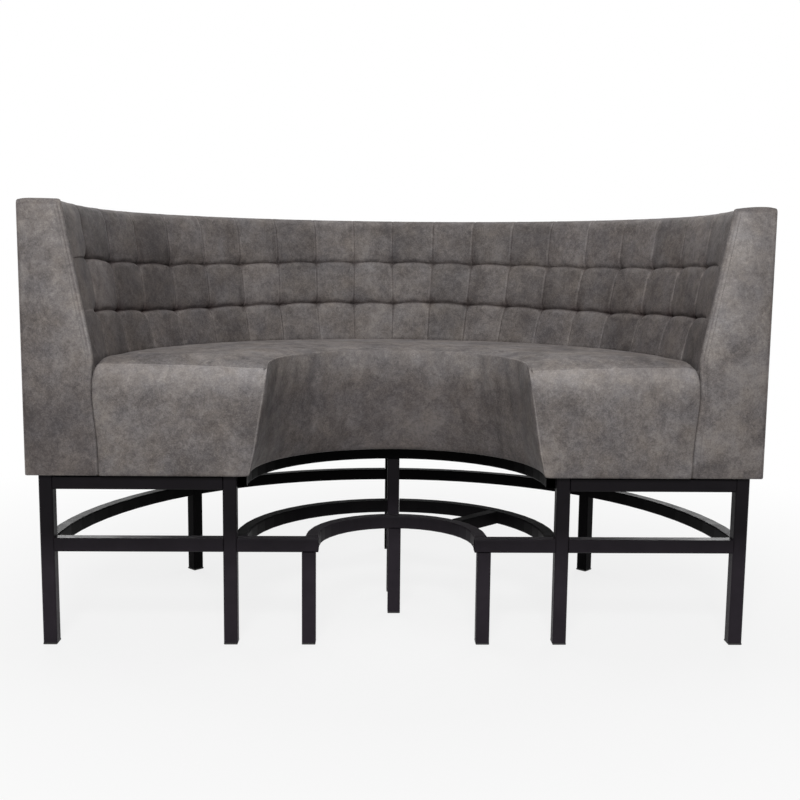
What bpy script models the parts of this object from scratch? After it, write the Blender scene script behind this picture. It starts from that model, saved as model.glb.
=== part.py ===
"""Half-round bar sofa: a welded square-tube base with three bows carries an upholstered body.

The body has a plywood carcass, a padded seat with a concave front and a biscuit-tufted back.
Metres, +Z up, open side towards -Y, origin on the floor under the middle of the overall box.
"""
import math

import bmesh
import bpy

# Overall sizes of the upholstered body
BODY_WIDTH = 2.020
BACK_HEIGHT = 1.210
SEAT_HEIGHT = 0.800
BACK_LEAD = 0.090             # straight run of the back from its front end to the half circle
BACK_TOP_THICKNESS = 0.115
BACK_SEAT_THICKNESS = 0.191
BACK_FOOT_THICKNESS = 0.197
NOSE_TOP_RADIUS = 0.353       # concave front of the seat, at seat height
NOSE_FOOT_RADIUS = 0.406      # concave front of the seat, at the bottom edge
NOSE_SETBACK = 0.040          # centre of the concave front, behind the body's front face

# Steel base
TUBE = 0.038
TUBE_WALL = 0.002
TUBE_CORNER = 0.0035
FRAME_HEIGHT = 0.478
FOOTREST_HEIGHT = 0.303
FRONT_OVERHANG = 0.020        # body in front of the front legs
SIDE_OVERHANG = 0.031         # body outside the outer legs
INNER_LEG_X = 0.4605
FOOTREST_LEG_X = 0.2437
INNER_BOW_INSET = 0.0245      # inner bow's centre line inside the inner legs' centre line
FOOTREST_BOW_INSET = 0.0077
FOOTREST_SETBACK = 0.055      # centre of the footrest bow, behind the front legs' front face
BACK_LEG_ANGLE = 45.0
STRUT_ANGLE = 44.0
GLIDE_CAP = 0.005
GLIDE_PLUG = 0.016
GLIDE_CHAMFER = 0.0015

# Plywood carcass
DUST_COVER = 0.001
BASE_BOARD = 0.015
SEAT_BOARD = 0.015
FORMER = 0.018
FORMER_ANGLES = (30.0, 60.0, 90.0, 120.0, 150.0)
APRON = 0.009
BACK_PANEL = 0.006
TOP_RAIL = 0.018

# Upholstery
SEAT_FOAM = 0.085
SEAT_CROWN = 0.008
SEAT_EDGE = 0.020             # round along the seat's top edge
NOSE_PAD = 0.020
NOSE_BULGE = 0.004
FRONT_PAD = 0.020
BACK_PAD = 0.050
TOP_FOAM = 0.028
TOP_ROLL = 0.034              # round from the tufted face into the top
BACK_COVER = 0.012
PANEL_ROUND = 0.009
PANEL_CROWN = 0.004
PANEL_DOME = 0.009            # end panels stand this much above the tufted back
TUFT_COLUMNS = 20
TUFT_ROWS = 3
TUFT_ROW = 0.1415             # height of a row, counted down from the top
SEAM_DEPTH = 0.006
CREASE_DEPTH = 0.016
TUFT_DEPTH = 0.012            # extra depth where a seam and a crease cross
TUFT_SAG = 0.006              # a crease hangs this much lower at its tufts
TOP_SEAM_DEPTH = 0.003

# Clearances
GAP = 0.0003
BEND_GAP = 0.0012             # between two bent pieces, whose facets differ

# Facets
OUTER_STEP = 5.0
INNER_STEP = 7.5
FOOTREST_STEP = 10.0
END_STEP = 0.5                # short first and last step, which squares a bow's end
BODY_STEPS = 36
CELL_SHARES = (0.0, 0.2, 0.8) # places across a tufted cell: its sewn line and both sides of its crest

# Derived places
OUTER_RADIUS = BODY_WIDTH / 2
FRONT_Y = -(BACK_LEAD + OUTER_RADIUS) / 2
CENTRE_Y = FRONT_Y + BACK_LEAD
NOSE_Y = FRONT_Y + NOSE_SETBACK
CARCASS_Y = FRONT_Y + FRONT_PAD + GAP
LEG_FRONT_Y = FRONT_Y + FRONT_OVERHANG
LEG_Y = LEG_FRONT_Y + TUBE / 2
RAIL_BACK_Y = LEG_FRONT_Y + TUBE + GAP
FOOTREST_Y = LEG_FRONT_Y + FOOTREST_SETBACK
OUTER_LEG_X = OUTER_RADIUS - SIDE_OVERHANG - TUBE / 2
OUTER_BOW = OUTER_LEG_X
INNER_BOW = INNER_LEG_X - INNER_BOW_INSET
FOOTREST_BOW = FOOTREST_LEG_X - FOOTREST_BOW_INSET
TOP_TUBE_Z = FRAME_HEIGHT - TUBE / 2
LOW_TUBE_Z = FOOTREST_HEIGHT - TUBE / 2
BASE_BOTTOM = FRAME_HEIGHT + GAP + DUST_COVER + GAP
BASE_TOP = BASE_BOTTOM + BASE_BOARD
SEAT_BOARD_TOP = SEAT_HEIGHT - SEAT_FOAM
SEAT_BOARD_BOTTOM = SEAT_BOARD_TOP - SEAT_BOARD
TOP_RAIL_TOP = BACK_HEIGHT - TOP_FOAM
TOP_RAIL_BOTTOM = TOP_RAIL_TOP - TOP_RAIL
COVER_INNER = OUTER_RADIUS - BACK_COVER
SHELL_OUTER = COVER_INNER - BEND_GAP
SHELL_INNER = SHELL_OUTER - BACK_PANEL


def clear_scene():
    for obj in list(bpy.data.objects):
        bpy.data.objects.remove(obj, do_unlink=True)


def new_collection(name):
    collection = bpy.data.collections.new(name)
    bpy.context.scene.collection.children.link(collection)
    return collection


def new_material(name, colour, roughness, metallic=0.0):
    material = bpy.data.materials.new(name)
    material.use_nodes = True
    shader = material.node_tree.nodes["Principled BSDF"]
    shader.inputs["Base Color"].default_value = (*colour, 1.0)
    shader.inputs["Roughness"].default_value = roughness
    shader.inputs["Metallic"].default_value = metallic
    return material


clear_scene()
PARTS = new_collection("round_sofa")
HELPERS = new_collection("helpers")
ORIGIN = bpy.data.objects.new("round_sofa_origin", None)
PARTS.objects.link(ORIGIN)

STEEL = new_material("black_powder_coat", (0.012, 0.012, 0.014), 0.45, 0.2)
GLIDE = new_material("black_glide_plastic", (0.02, 0.02, 0.02), 0.6)
PLYWOOD = new_material("birch_plywood", (0.55, 0.40, 0.24), 0.7)
SUEDE = new_material("grey_suede", (0.16, 0.148, 0.144), 0.85)
CAMBRIC = new_material("black_cambric", (0.015, 0.015, 0.015), 0.95)


def add_part(name, data, material):
    """Puts a mesh or curve in the sofa's collection under the origin empty."""
    obj = bpy.data.objects.new(name, data)
    data.materials.clear()
    data.materials.append(material)
    PARTS.objects.link(obj)
    obj.parent = ORIGIN
    return obj


def add_helper(name, data):
    obj = bpy.data.objects.new(name, data)
    HELPERS.objects.link(obj)
    obj.hide_render = True
    obj.display_type = "WIRE"
    return obj


def mesh_from(bm, name):
    bmesh.ops.recalc_face_normals(bm, faces=bm.faces)
    mesh = bpy.data.meshes.new(name)
    bm.to_mesh(mesh)
    bm.free()
    return mesh


def hollow(obj):
    """Turns an open tube into one with a wall and open ends."""
    wall = obj.modifiers.new("wall", "SOLIDIFY")
    wall.thickness = TUBE_WALL
    wall.offset = -1.0
    wall.use_even_offset = True


# Straight and bent square tube

def square_tube_mesh(name, length):
    """Open-ended square tube standing on the origin, with rounded long edges."""
    bm = bmesh.new()
    bmesh.ops.create_cube(bm, size=1.0)
    bmesh.ops.scale(bm, vec=(TUBE, TUBE, length), verts=bm.verts)
    bmesh.ops.translate(bm, vec=(0, 0, length / 2), verts=bm.verts)
    ends = [face for face in bm.faces if abs(face.normal.z) > 0.5]
    bmesh.ops.delete(bm, geom=ends, context="FACES_ONLY")
    upright = [edge for edge in bm.edges if abs(edge.verts[0].co.z - edge.verts[1].co.z) > length / 2]
    bmesh.ops.bevel(bm, geom=upright, offset=TUBE_CORNER, segments=1, affect="EDGES")
    return mesh_from(bm, name)


def upright_tube(name, x, y, bottom, top, turn):
    obj = add_part(name, square_tube_mesh(name, top - bottom), STEEL)
    obj.location = (x, y, bottom)
    obj.rotation_euler = (0, 0, turn)
    hollow(obj)


def level_tube(name, start, end, height):
    """Square tube between two points of the plan, on its side."""
    run_x = end[0] - start[0]
    run_y = end[1] - start[1]
    obj = add_part(name, square_tube_mesh(name, math.hypot(run_x, run_y)), STEEL)
    obj.location = (*start, height)
    obj.rotation_euler = (-math.pi / 2, 0, math.atan2(run_y, run_x) - math.pi / 2)
    hollow(obj)


def tube_profile():
    """Square tube's cross-section with cut corners, as a closed 2D curve."""
    half = TUBE / 2
    cut = half - TUBE_CORNER
    corner_points = [(half, -cut), (half, cut), (cut, half), (-cut, half),
                     (-half, cut), (-half, -cut), (-cut, -half), (cut, -half)]
    curve = bpy.data.curves.new("tube_profile", "CURVE")
    spline = curve.splines.new("POLY")
    spline.points.add(len(corner_points) - 1)
    for point, (x, y) in zip(spline.points, corner_points):
        point.co = (x, y, 0, 1)
    spline.use_cyclic_u = True
    return add_helper("tube_profile", curve)


PROFILE = tube_profile()


def arc_angles(start, end, step):
    """Angles in degrees from start to end, with a short step at each end."""
    inner_start = start + END_STEP
    inner_end = end - END_STEP
    count = math.ceil((inner_end - inner_start) / step)
    middle = [inner_start + (inner_end - inner_start) * i / count for i in range(count + 1)]
    return [start] + middle + [end]


def polar(radius, degrees, centre_y):
    angle = math.radians(degrees)
    return (radius * math.cos(angle), centre_y + radius * math.sin(angle))


def bow_path(radius, centre_y, start, end, step):
    """Points of a bow; one that starts or ends square to the front runs straight to the front rails."""
    points = [polar(radius, angle, centre_y) for angle in arc_angles(start, end, step)]
    if start == 0.0:
        points.insert(0, (radius, RAIL_BACK_Y))
    if end == 180.0:
        points.append((-radius, RAIL_BACK_Y))
    return points


def bent_tube(name, path, height):
    """Square tube swept along a level path."""
    curve = bpy.data.curves.new(name + "_path", "CURVE")
    curve.dimensions = "3D"
    curve.twist_mode = "Z_UP"
    curve.bevel_mode = "OBJECT"
    curve.bevel_object = PROFILE
    spline = curve.splines.new("POLY")
    spline.points.add(len(path) - 1)
    for point, (x, y) in zip(spline.points, path):
        point.co = (x, y, height, 1)
    guide = add_helper(name + "_path", curve)
    bpy.context.view_layer.update()
    evaluated = guide.evaluated_get(bpy.context.evaluated_depsgraph_get())
    bm = bmesh.new()
    bm.from_mesh(bpy.data.meshes.new_from_object(evaluated))
    bmesh.ops.remove_doubles(bm, verts=bm.verts, dist=1e-5)
    bpy.data.objects.remove(guide, do_unlink=True)
    obj = add_part(name, mesh_from(bm, name), STEEL)
    hollow(obj)
    return obj


def chord_angle(radius):
    """Half angle that a leg takes out of a bow, with its clearance, in degrees."""
    return math.degrees(math.asin((TUBE / 2 + GAP) / (radius - TUBE / 2)))


# Legs and their glides

def glide(name, x, y, turn):
    """Plastic foot: a cap under the tube's end and a plug inside it."""
    bm = bmesh.new()
    bmesh.ops.create_cube(bm, size=1.0)
    bmesh.ops.scale(bm, vec=(TUBE, TUBE, GLIDE_CAP), verts=bm.verts)
    bmesh.ops.translate(bm, vec=(0, 0, GLIDE_CAP / 2), verts=bm.verts)
    foot = [edge for edge in bm.edges if max(v.co.z for v in edge.verts) < GLIDE_CAP / 2]
    bmesh.ops.bevel(bm, geom=foot, offset=GLIDE_CHAMFER, segments=1, affect="EDGES")
    top = [face for face in bm.faces if face.normal.z > 0.5]
    plug_width = TUBE - 2 * (TUBE_WALL + TUBE_CORNER)
    bmesh.ops.inset_region(bm, faces=top, thickness=(TUBE - plug_width) / 2, use_even_offset=True)
    plug = bmesh.ops.extrude_face_region(bm, geom=top)
    raised = [item for item in plug["geom"] if isinstance(item, bmesh.types.BMVert)]
    bmesh.ops.translate(bm, vec=(0, 0, GLIDE_PLUG), verts=raised)
    bmesh.ops.delete(bm, geom=top, context="FACES")
    obj = add_part(name, mesh_from(bm, name), GLIDE)
    obj.location = (x, y, 0)
    obj.rotation_euler = (0, 0, turn)


def leg(place, x, y, top, turn=0.0):
    foot_z = GLIDE_CAP + GAP
    upright_tube("leg_" + place, x, y, foot_z, top, turn)
    glide("glide_" + place, x, y, turn)


def legs():
    under_lower = FOOTREST_HEIGHT - TUBE - GAP
    under_upper = FRAME_HEIGHT - TUBE - GAP
    for side, sign in (("right", 1), ("left", -1)):
        leg("front_outer_" + side, sign * OUTER_LEG_X, LEG_Y, FRAME_HEIGHT)
        leg("front_inner_" + side, sign * INNER_LEG_X, LEG_Y, FRAME_HEIGHT)
        leg("footrest_" + side, sign * FOOTREST_LEG_X, LEG_Y, under_lower)
        angle = 90 - sign * (90 - BACK_LEG_ANGLE)
        x, y = polar(OUTER_BOW, angle, CENTRE_Y)
        leg("back_" + side, x, y, under_upper, math.radians(angle))
    leg("back_centre", 0, CENTRE_Y + OUTER_BOW, under_upper)
    leg("inner_centre", 0, CENTRE_Y + INNER_BOW, under_upper)
    leg("footrest_centre", 0, FOOTREST_Y + FOOTREST_BOW, under_lower)


# Rails, bows and bearers

def front_rails():
    leg_side = TUBE / 2 + GAP
    footrest_end = FOOTREST_BOW - TUBE / 2
    for side, sign in (("right", 1), ("left", -1)):
        outer_run = (sign * (INNER_LEG_X + leg_side), sign * (OUTER_LEG_X - leg_side))
        inner_run = (sign * footrest_end, sign * (INNER_LEG_X - leg_side))
        for name, run, height in (("rail_top_", outer_run, TOP_TUBE_Z),
                                  ("rail_low_outer_", outer_run, LOW_TUBE_Z),
                                  ("rail_low_inner_", inner_run, LOW_TUBE_Z)):
            level_tube(name + side, (run[0], LEG_Y), (run[1], LEG_Y), height)


def bows():
    outer_cut = chord_angle(OUTER_BOW)
    inner_cut = chord_angle(INNER_BOW)
    stops = (0.0, BACK_LEG_ANGLE, 90.0, 180.0 - BACK_LEG_ANGLE, 180.0)
    places = ("right_front", "right_back", "left_back", "left_front")
    for place, start, end in zip(places, stops, stops[1:]):
        first = start + outer_cut if start > 0.0 else start
        last = end - outer_cut if end < 180.0 else end
        bent_tube("bow_outer_low_" + place, bow_path(OUTER_BOW, CENTRE_Y, first, last, OUTER_STEP), LOW_TUBE_Z)
    bent_tube("bow_outer_top", bow_path(OUTER_BOW, CENTRE_Y, 0.0, 180.0, OUTER_STEP), TOP_TUBE_Z)
    for side, start, end in (("right", 0.0, 90.0 - inner_cut), ("left", 90.0 + inner_cut, 180.0)):
        bent_tube("bow_inner_low_" + side, bow_path(INNER_BOW, CENTRE_Y, start, end, INNER_STEP), LOW_TUBE_Z)
    bent_tube("bow_inner_top", bow_path(INNER_BOW, CENTRE_Y, 0.0, 180.0, INNER_STEP), TOP_TUBE_Z)
    footrest = bow_path(FOOTREST_BOW, FOOTREST_Y, 0.0, 180.0, FOOTREST_STEP)
    bent_tube("bow_footrest", footrest, LOW_TUBE_Z)


def square_reach(radius):
    """How far a square-ended tube can run towards the hollow side of a bow of this radius."""
    return math.sqrt((radius - BEND_GAP) ** 2 - (TUBE / 2) ** 2)


def bearers():
    """Radial tubes that tie the two upper bows and carry the base board."""
    start = INNER_BOW + TUBE / 2 + GAP
    end = square_reach(OUTER_BOW - TUBE / 2)
    for side, angle in (("right", BACK_LEG_ANGLE), ("centre", 90.0), ("left", 180.0 - BACK_LEG_ANGLE)):
        level_tube("bearer_" + side, polar(start, angle, CENTRE_Y), polar(end, angle, CENTRE_Y), TOP_TUBE_Z)


def strut():
    """Single radial tube from the footrest bow to the inner bow, on the right."""
    start = FOOTREST_BOW + TUBE / 2 + GAP
    reach = square_reach(INNER_BOW - TUBE / 2)
    offset = CENTRE_Y - FOOTREST_Y
    sine = math.sin(math.radians(STRUT_ANGLE))
    cosine = math.cos(math.radians(STRUT_ANGLE))
    end = offset * sine + math.sqrt(reach ** 2 - (offset * cosine) ** 2) - abs(offset) * cosine * TUBE / reach
    first = polar(start, STRUT_ANGLE, FOOTREST_Y)
    level_tube("footrest_strut", first, polar(end, STRUT_ANGLE, FOOTREST_Y), LOW_TUBE_Z)


# Lines that the body's pieces share

def back_face(z):
    """Radius of the tufted face's crests at a height; the face leans back."""
    lean = (BACK_SEAT_THICKNESS - BACK_TOP_THICKNESS) / (BACK_HEIGHT - SEAT_HEIGHT)
    return OUTER_RADIUS - BACK_TOP_THICKNESS - lean * (BACK_HEIGHT - z)


def panel_edge(z):
    """Inner edge of the end panels: the tufted face's line above the seat, almost upright below it."""
    if z >= SEAT_HEIGHT:
        return back_face(z)
    down = (SEAT_HEIGHT - z) / (SEAT_HEIGHT - BASE_BOTTOM)
    return OUTER_RADIUS - BACK_SEAT_THICKNESS - down * (BACK_FOOT_THICKNESS - BACK_SEAT_THICKNESS)


def nose_face(z):
    """Radius of the seat's concave front, which rakes back towards the bottom."""
    down = (SEAT_HEIGHT - z) / (SEAT_HEIGHT - BASE_BOTTOM)
    return NOSE_TOP_RADIUS + down * (NOSE_FOOT_RADIUS - NOSE_TOP_RADIUS)


def apron_front(z):
    return nose_face(z) + NOSE_PAD + BEND_GAP


def inner_panel_back(z):
    return back_face(z) + BACK_PAD + BEND_GAP + BACK_PANEL


def nose_point(radius, inset, share):
    """Point on a concave front of this radius, a share of the way round, between ends that lie
    at this inset behind the body's front face."""
    start = -math.asin((NOSE_SETBACK - inset) / radius)
    angle = start + share * (math.pi - 2 * start)
    return (radius * math.cos(angle), NOSE_Y + radius * math.sin(angle))


def back_point(radius, inset, share, pace):
    """Point on the back's line of this radius; pace is the radius along which shares are equal."""
    lead = BACK_LEAD - inset
    length = 2 * lead + math.pi * pace
    run = share * length
    if run <= lead:
        return (radius, FRONT_Y + inset + run)
    if run >= length - lead:
        return (-radius, FRONT_Y + inset + length - run)
    return polar(radius, math.degrees((run - lead) / pace), CENTRE_Y)


def loft(sections, name):
    """Closed solid through loops of equal length, with a flat face at each end."""
    bm = bmesh.new()
    rings = [[bm.verts.new(point) for point in section] for section in sections]
    count = len(rings[0])
    for ring, following in zip(rings, rings[1:]):
        for i in range(count):
            j = (i + 1) % count
            bm.faces.new((ring[i], ring[j], following[j], following[i]))
    bm.faces.new(reversed(rings[0]))
    bm.faces.new(rings[-1])
    return mesh_from(bm, name)


def back_sweep(profile, inset, steps):
    """Loops of a (radius, height) profile carried round the back's line."""
    sections = []
    for i in range(steps + 1):
        section = [(*back_point(r, inset, i / steps, OUTER_RADIUS), z) for r, z in profile]
        sections.append(section)
    return sections


# Plywood carcass

def arc(radius, centre_y, start, end, steps):
    return [polar(radius, start + (end - start) * i / steps, centre_y) for i in range(steps + 1)]


def board(name, outline, bottom, thickness, material):
    """Flat board from a closed outline."""
    curve = bpy.data.curves.new(name, "CURVE")
    curve.dimensions = "2D"
    curve.fill_mode = "BOTH"
    curve.extrude = thickness / 2
    spline = curve.splines.new("POLY")
    spline.points.add(len(outline) - 1)
    for point, (x, y) in zip(spline.points, outline):
        point.co = (x, y, 0, 1)
    spline.use_cyclic_u = True
    obj = add_part(name, curve, material)
    obj.location.z = bottom + thickness / 2
    return obj


def seat_outline(nose_radius, outer_radius):
    """Plan of a board under the seat: half circle behind, concave arc in front."""
    outline = [(outer_radius, CARCASS_Y)]
    outline += arc(outer_radius, CENTRE_Y, 0, 180, BODY_STEPS)
    outline += [(-outer_radius, CARCASS_Y)]
    inset = CARCASS_Y - FRONT_Y
    outline += [nose_point(nose_radius, inset, 1 - i / BODY_STEPS) for i in range(BODY_STEPS + 1)]
    return outline


def band_outline(inner_radius, outer_radius):
    """Plan of a bent band along the back."""
    outline = [(outer_radius, CARCASS_Y)] + arc(outer_radius, CENTRE_Y, 0, 180, BODY_STEPS)
    outline += [(-outer_radius, CARCASS_Y), (-inner_radius, CARCASS_Y)]
    outline += arc(inner_radius, CENTRE_Y, 180, 0, BODY_STEPS) + [(inner_radius, CARCASS_Y)]
    return outline


def boards():
    plan = seat_outline(apron_front(BASE_BOTTOM), SHELL_OUTER)
    board("dust_cover", plan, FRAME_HEIGHT + GAP, DUST_COVER, CAMBRIC)
    board("base_board", plan, BASE_BOTTOM, BASE_BOARD, PLYWOOD)
    seat_plan = seat_outline(apron_front(SEAT_BOARD_BOTTOM), inner_panel_back(SEAT_BOARD_TOP))
    board("seat_board", seat_plan, SEAT_BOARD_BOTTOM, SEAT_BOARD, PLYWOOD)
    rail_plan = band_outline(inner_panel_back(TOP_RAIL_TOP) + BEND_GAP, SHELL_INNER - BEND_GAP)
    board("back_top_rail", rail_plan, TOP_RAIL_BOTTOM, TOP_RAIL, PLYWOOD)
    shell_plan = band_outline(SHELL_INNER, SHELL_OUTER)
    shell_bottom = BASE_TOP + GAP
    board("back_outer_panel", shell_plan, shell_bottom, TOP_RAIL_TOP - shell_bottom, PLYWOOD)


def bent_panels():
    foot = SEAT_BOARD_TOP + GAP
    corners = [(inner_panel_back(foot) - BACK_PANEL, foot), (inner_panel_back(foot), foot),
               (inner_panel_back(TOP_RAIL_TOP), TOP_RAIL_TOP),
               (inner_panel_back(TOP_RAIL_TOP) - BACK_PANEL, TOP_RAIL_TOP)]
    sections = back_sweep(corners, CARCASS_Y - FRONT_Y, BODY_STEPS)
    add_part("back_inner_panel", loft(sections, "back_inner_panel"), PLYWOOD)

    low, high = BASE_TOP + GAP, SEAT_BOARD_BOTTOM - GAP
    edges = [(apron_front(low), low), (apron_front(low) + APRON, low),
             (apron_front(high) + APRON, high), (apron_front(high), high)]
    inset = CARCASS_Y - FRONT_Y
    sections = [[(*nose_point(r, inset, i / BODY_STEPS), z) for r, z in edges] for i in range(BODY_STEPS + 1)]
    add_part("seat_apron", loft(sections, "seat_apron"), PLYWOOD)


def former(name, angle, y, nose_reach, back_reach):
    """Upright plywood profile of seat and back; nose_reach gives its front edge at a height."""
    low, high = BASE_TOP + GAP, SEAT_BOARD_BOTTOM - GAP
    top = TOP_RAIL_BOTTOM - GAP
    heel = inner_panel_back(SEAT_BOARD_TOP) + BEND_GAP
    outline = [(nose_reach(low), low), (back_reach, low), (back_reach, top),
               (inner_panel_back(top) + BEND_GAP, top), (heel, SEAT_BOARD_TOP),
               (heel, high), (nose_reach(high), high)]
    obj = board(name, outline, 0.0, FORMER, PLYWOOD)
    obj.location = (0, y, 0)
    obj.rotation_euler = (math.pi / 2, 0, angle)


def formers():
    offset = CENTRE_Y - NOSE_Y

    def apron_back(z):
        return apron_front(z) + APRON + BEND_GAP

    for number, degrees in enumerate(FORMER_ANGLES, start=1):
        angle = math.radians(degrees)
        sine, cosine = math.sin(angle), math.cos(angle)

        def reach(z, sine=sine, cosine=cosine):
            return math.sqrt(apron_back(z) ** 2 - (offset * cosine) ** 2) - offset * sine

        back_reach = math.sqrt(SHELL_INNER ** 2 - (FORMER / 2) ** 2) - BEND_GAP
        former(f"former_{number}", angle, CENTRE_Y, reach, back_reach)
    end_y = CARCASS_Y + FORMER / 2
    former("former_end_right", 0.0, end_y, apron_back, SHELL_INNER - BEND_GAP)
    former("former_end_left", math.pi, end_y, apron_back, SHELL_INNER - BEND_GAP)


# Upholstery

def seat_section(inset, share, drop, heel_radius, foot_radius):
    """Loop round the seat cushion at one place; drop lowers its top, and the last two radii
    are those of its back edge at the top and at the bottom."""
    top = SEAT_HEIGHT - drop
    shoulder = top - SEAT_EDGE
    middle = (BASE_BOTTOM + shoulder) / 2
    loop = []
    for z, swell in ((BASE_BOTTOM, 0.0), (middle, NOSE_BULGE), (shoulder, 0.0)):
        loop.append((*nose_point(nose_face(z) - swell, inset, share), z))
    soften = SEAT_EDGE * (1 - math.sqrt(0.5))
    brow = nose_face(shoulder)
    loop.append((*nose_point(brow + soften, inset, share), top - soften))
    rim = nose_point(brow + SEAT_EDGE, inset, share)
    heel = back_point(heel_radius, inset, share, heel_radius)
    for part in (0.0, 0.25, 0.5, 0.75, 1.0):
        x = rim[0] + part * (heel[0] - rim[0])
        y = rim[1] + part * (heel[1] - rim[1])
        loop.append((x, y, top + SEAT_CROWN * math.sin(math.pi * part)))
    loop.append((*back_point(foot_radius, inset, share, heel_radius), BASE_BOTTOM))
    return loop


def seat_cushion():
    """Foam and cover over the seat and its fronts, hollow underneath where the carcass stands."""
    soften = SEAT_EDGE * (1 - math.sqrt(0.5))
    foot_edge = panel_edge(BASE_BOTTOM) - BEND_GAP
    front_end = [(0.0, SEAT_EDGE), (soften, soften), (FRONT_PAD, 0.0)]
    ends = [(inset, drop, panel_edge(SEAT_HEIGHT - drop) - BEND_GAP, foot_edge) for inset, drop in front_end]
    under_back = min(pad_front(SEAT_HEIGHT), pad_front(SEAT_BOARD_TOP)) - BEND_GAP
    sections = [seat_section(inset, 0.0, drop, heel, foot) for inset, drop, heel, foot in ends]
    for i in range(1, BODY_STEPS):
        sections.append(seat_section(FRONT_PAD, i / BODY_STEPS, 0.0, under_back, under_back))
    sections += [seat_section(inset, 1.0, drop, heel, foot) for inset, drop, heel, foot in reversed(ends)]
    cushion = add_part("seat_cushion", loft(sections, "seat_cushion"), SUEDE)

    low, high = BASE_BOTTOM - SEAT_FOAM, SEAT_BOARD_TOP + GAP
    beyond = OUTER_RADIUS
    room = []
    for i in range(BODY_STEPS + 1):
        share = i / BODY_STEPS
        front_low = nose_point(nose_face(low) + NOSE_PAD, FRONT_PAD, share)
        front_high = nose_point(nose_face(high) + NOSE_PAD, FRONT_PAD, share)
        behind = back_point(beyond, FRONT_PAD, share, under_back)
        room.append([(*front_low, low), (*front_high, high), (*behind, high), (*behind, low)])
    cutter = add_helper("seat_carcass_room", loft(room, "seat_carcass_room"))
    cut = cushion.modifiers.new("carcass_room", "BOOLEAN")
    cut.operation = "DIFFERENCE"
    cut.object = cutter


def pull(share):
    """1 on a sewn line, falling to 0 on the crest of the padding between two lines."""
    nearest = min(share, 1 - share) / CELL_SHARES[1]
    return max(0.0, 1 - nearest) ** 2


def pad_front_line(column_share):
    """Tufted face from its foot behind the seat to the roll at the top, as (radius, height) points."""
    seam = pull(column_share)
    foot = SEAT_BOARD_TOP + GAP
    last_line = max(BACK_HEIGHT - TUFT_ROWS * TUFT_ROW, foot + TUFT_SAG)
    tail = back_face(last_line) + CREASE_DEPTH
    line = [(tail, foot), (tail, last_line)]
    for row in reversed(range(TUFT_ROWS)):
        for share in reversed(CELL_SHARES):
            z = BACK_HEIGHT - (row + share) * TUFT_ROW
            crease = pull(share)
            if last_line + TUFT_SAG < z < BACK_HEIGHT - TOP_ROLL:
                depth = SEAM_DEPTH * seam + CREASE_DEPTH * crease + TUFT_DEPTH * seam * crease
                line.append((back_face(z) + depth, z - TUFT_SAG * seam * crease))
    return line


def pad_front(z):
    """Radius of the tufted face on the crest of a column, at a height."""
    line = pad_front_line(0.5)
    for (low_radius, low), (high_radius, high) in zip(line, line[1:]):
        if low <= z <= high:
            return low_radius + (high_radius - low_radius) * (z - low) / (high - low)
    return line[0][0]


def pad_section(share, column_share):
    """Loop round the tufted pad at one place along the back."""
    foot = SEAT_BOARD_TOP + GAP
    loop = pad_front_line(column_share)
    seam = TOP_SEAM_DEPTH * pull(column_share)
    brow = back_face(BACK_HEIGHT - TOP_ROLL)
    soften = TOP_ROLL * (1 - math.sqrt(0.5))
    loop.append((brow + soften + seam * math.sqrt(0.5), BACK_HEIGHT - soften - seam * math.sqrt(0.5)))
    loop.append((brow + TOP_ROLL, BACK_HEIGHT - seam))
    loop.append((SHELL_OUTER, BACK_HEIGHT - seam))
    loop.append((SHELL_OUTER, TOP_RAIL_TOP + GAP))
    loop.append((back_face(TOP_RAIL_TOP) + BACK_PAD, TOP_RAIL_TOP + GAP))
    loop.append((back_face(foot) + BACK_PAD, foot))
    pace = back_face(BACK_HEIGHT - TUFT_ROW)
    inset = CARCASS_Y - FRONT_Y
    return [(*back_point(radius, inset, share, pace), z) for radius, z in loop]


def back_pad():
    """Biscuit tufting: sewn columns and rows, deepest where the lines cross, rolled over the top."""
    sections = []
    for column in range(TUFT_COLUMNS):
        for place in CELL_SHARES:
            at_end = column == 0 and place == 0.0
            column_share = 0.5 if at_end else place
            sections.append(pad_section((column + place) / TUFT_COLUMNS, column_share))
    sections.append(pad_section(1.0, 0.5))
    add_part("back_pad", loft(sections, "back_pad"), SUEDE)


def back_cover():
    """Padded outer cover, from the base board's underside to the roll of the tufted pad."""
    top = BACK_HEIGHT - TOP_SEAM_DEPTH
    soften = BACK_COVER * (1 - math.sqrt(0.5))
    profile = [(COVER_INNER, BASE_BOTTOM), (OUTER_RADIUS, BASE_BOTTOM), (OUTER_RADIUS, top - BACK_COVER),
               (OUTER_RADIUS - soften, top - soften), (COVER_INNER, top)]
    sections = back_sweep(profile, CARCASS_Y - FRONT_Y, BODY_STEPS)
    add_part("back_cover", loft(sections, "back_cover"), SUEDE)


def end_panel_section(sign, z, narrow, thin):
    """Level loop of an end panel; narrow pulls in both sides and thin both faces, for the domed top."""
    inner = panel_edge(min(z, BACK_HEIGHT)) + narrow
    outer = OUTER_RADIUS - narrow
    front = FRONT_Y + thin
    back = FRONT_Y + FRONT_PAD - thin
    edge = front + PANEL_CROWN
    soften = PANEL_ROUND * (1 - math.sqrt(0.5))
    width = outer - inner
    loop = [(inner, back), (inner, edge + PANEL_ROUND - soften), (inner + soften, edge + soften),
            (inner + PANEL_ROUND, edge), (inner + width / 3, front), (outer - width / 3, front),
            (outer - PANEL_ROUND, edge), (outer - soften, edge + soften),
            (outer, edge + PANEL_ROUND - soften), (outer, back)]
    return [(sign * x, y, z) for x, y in loop]


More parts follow.
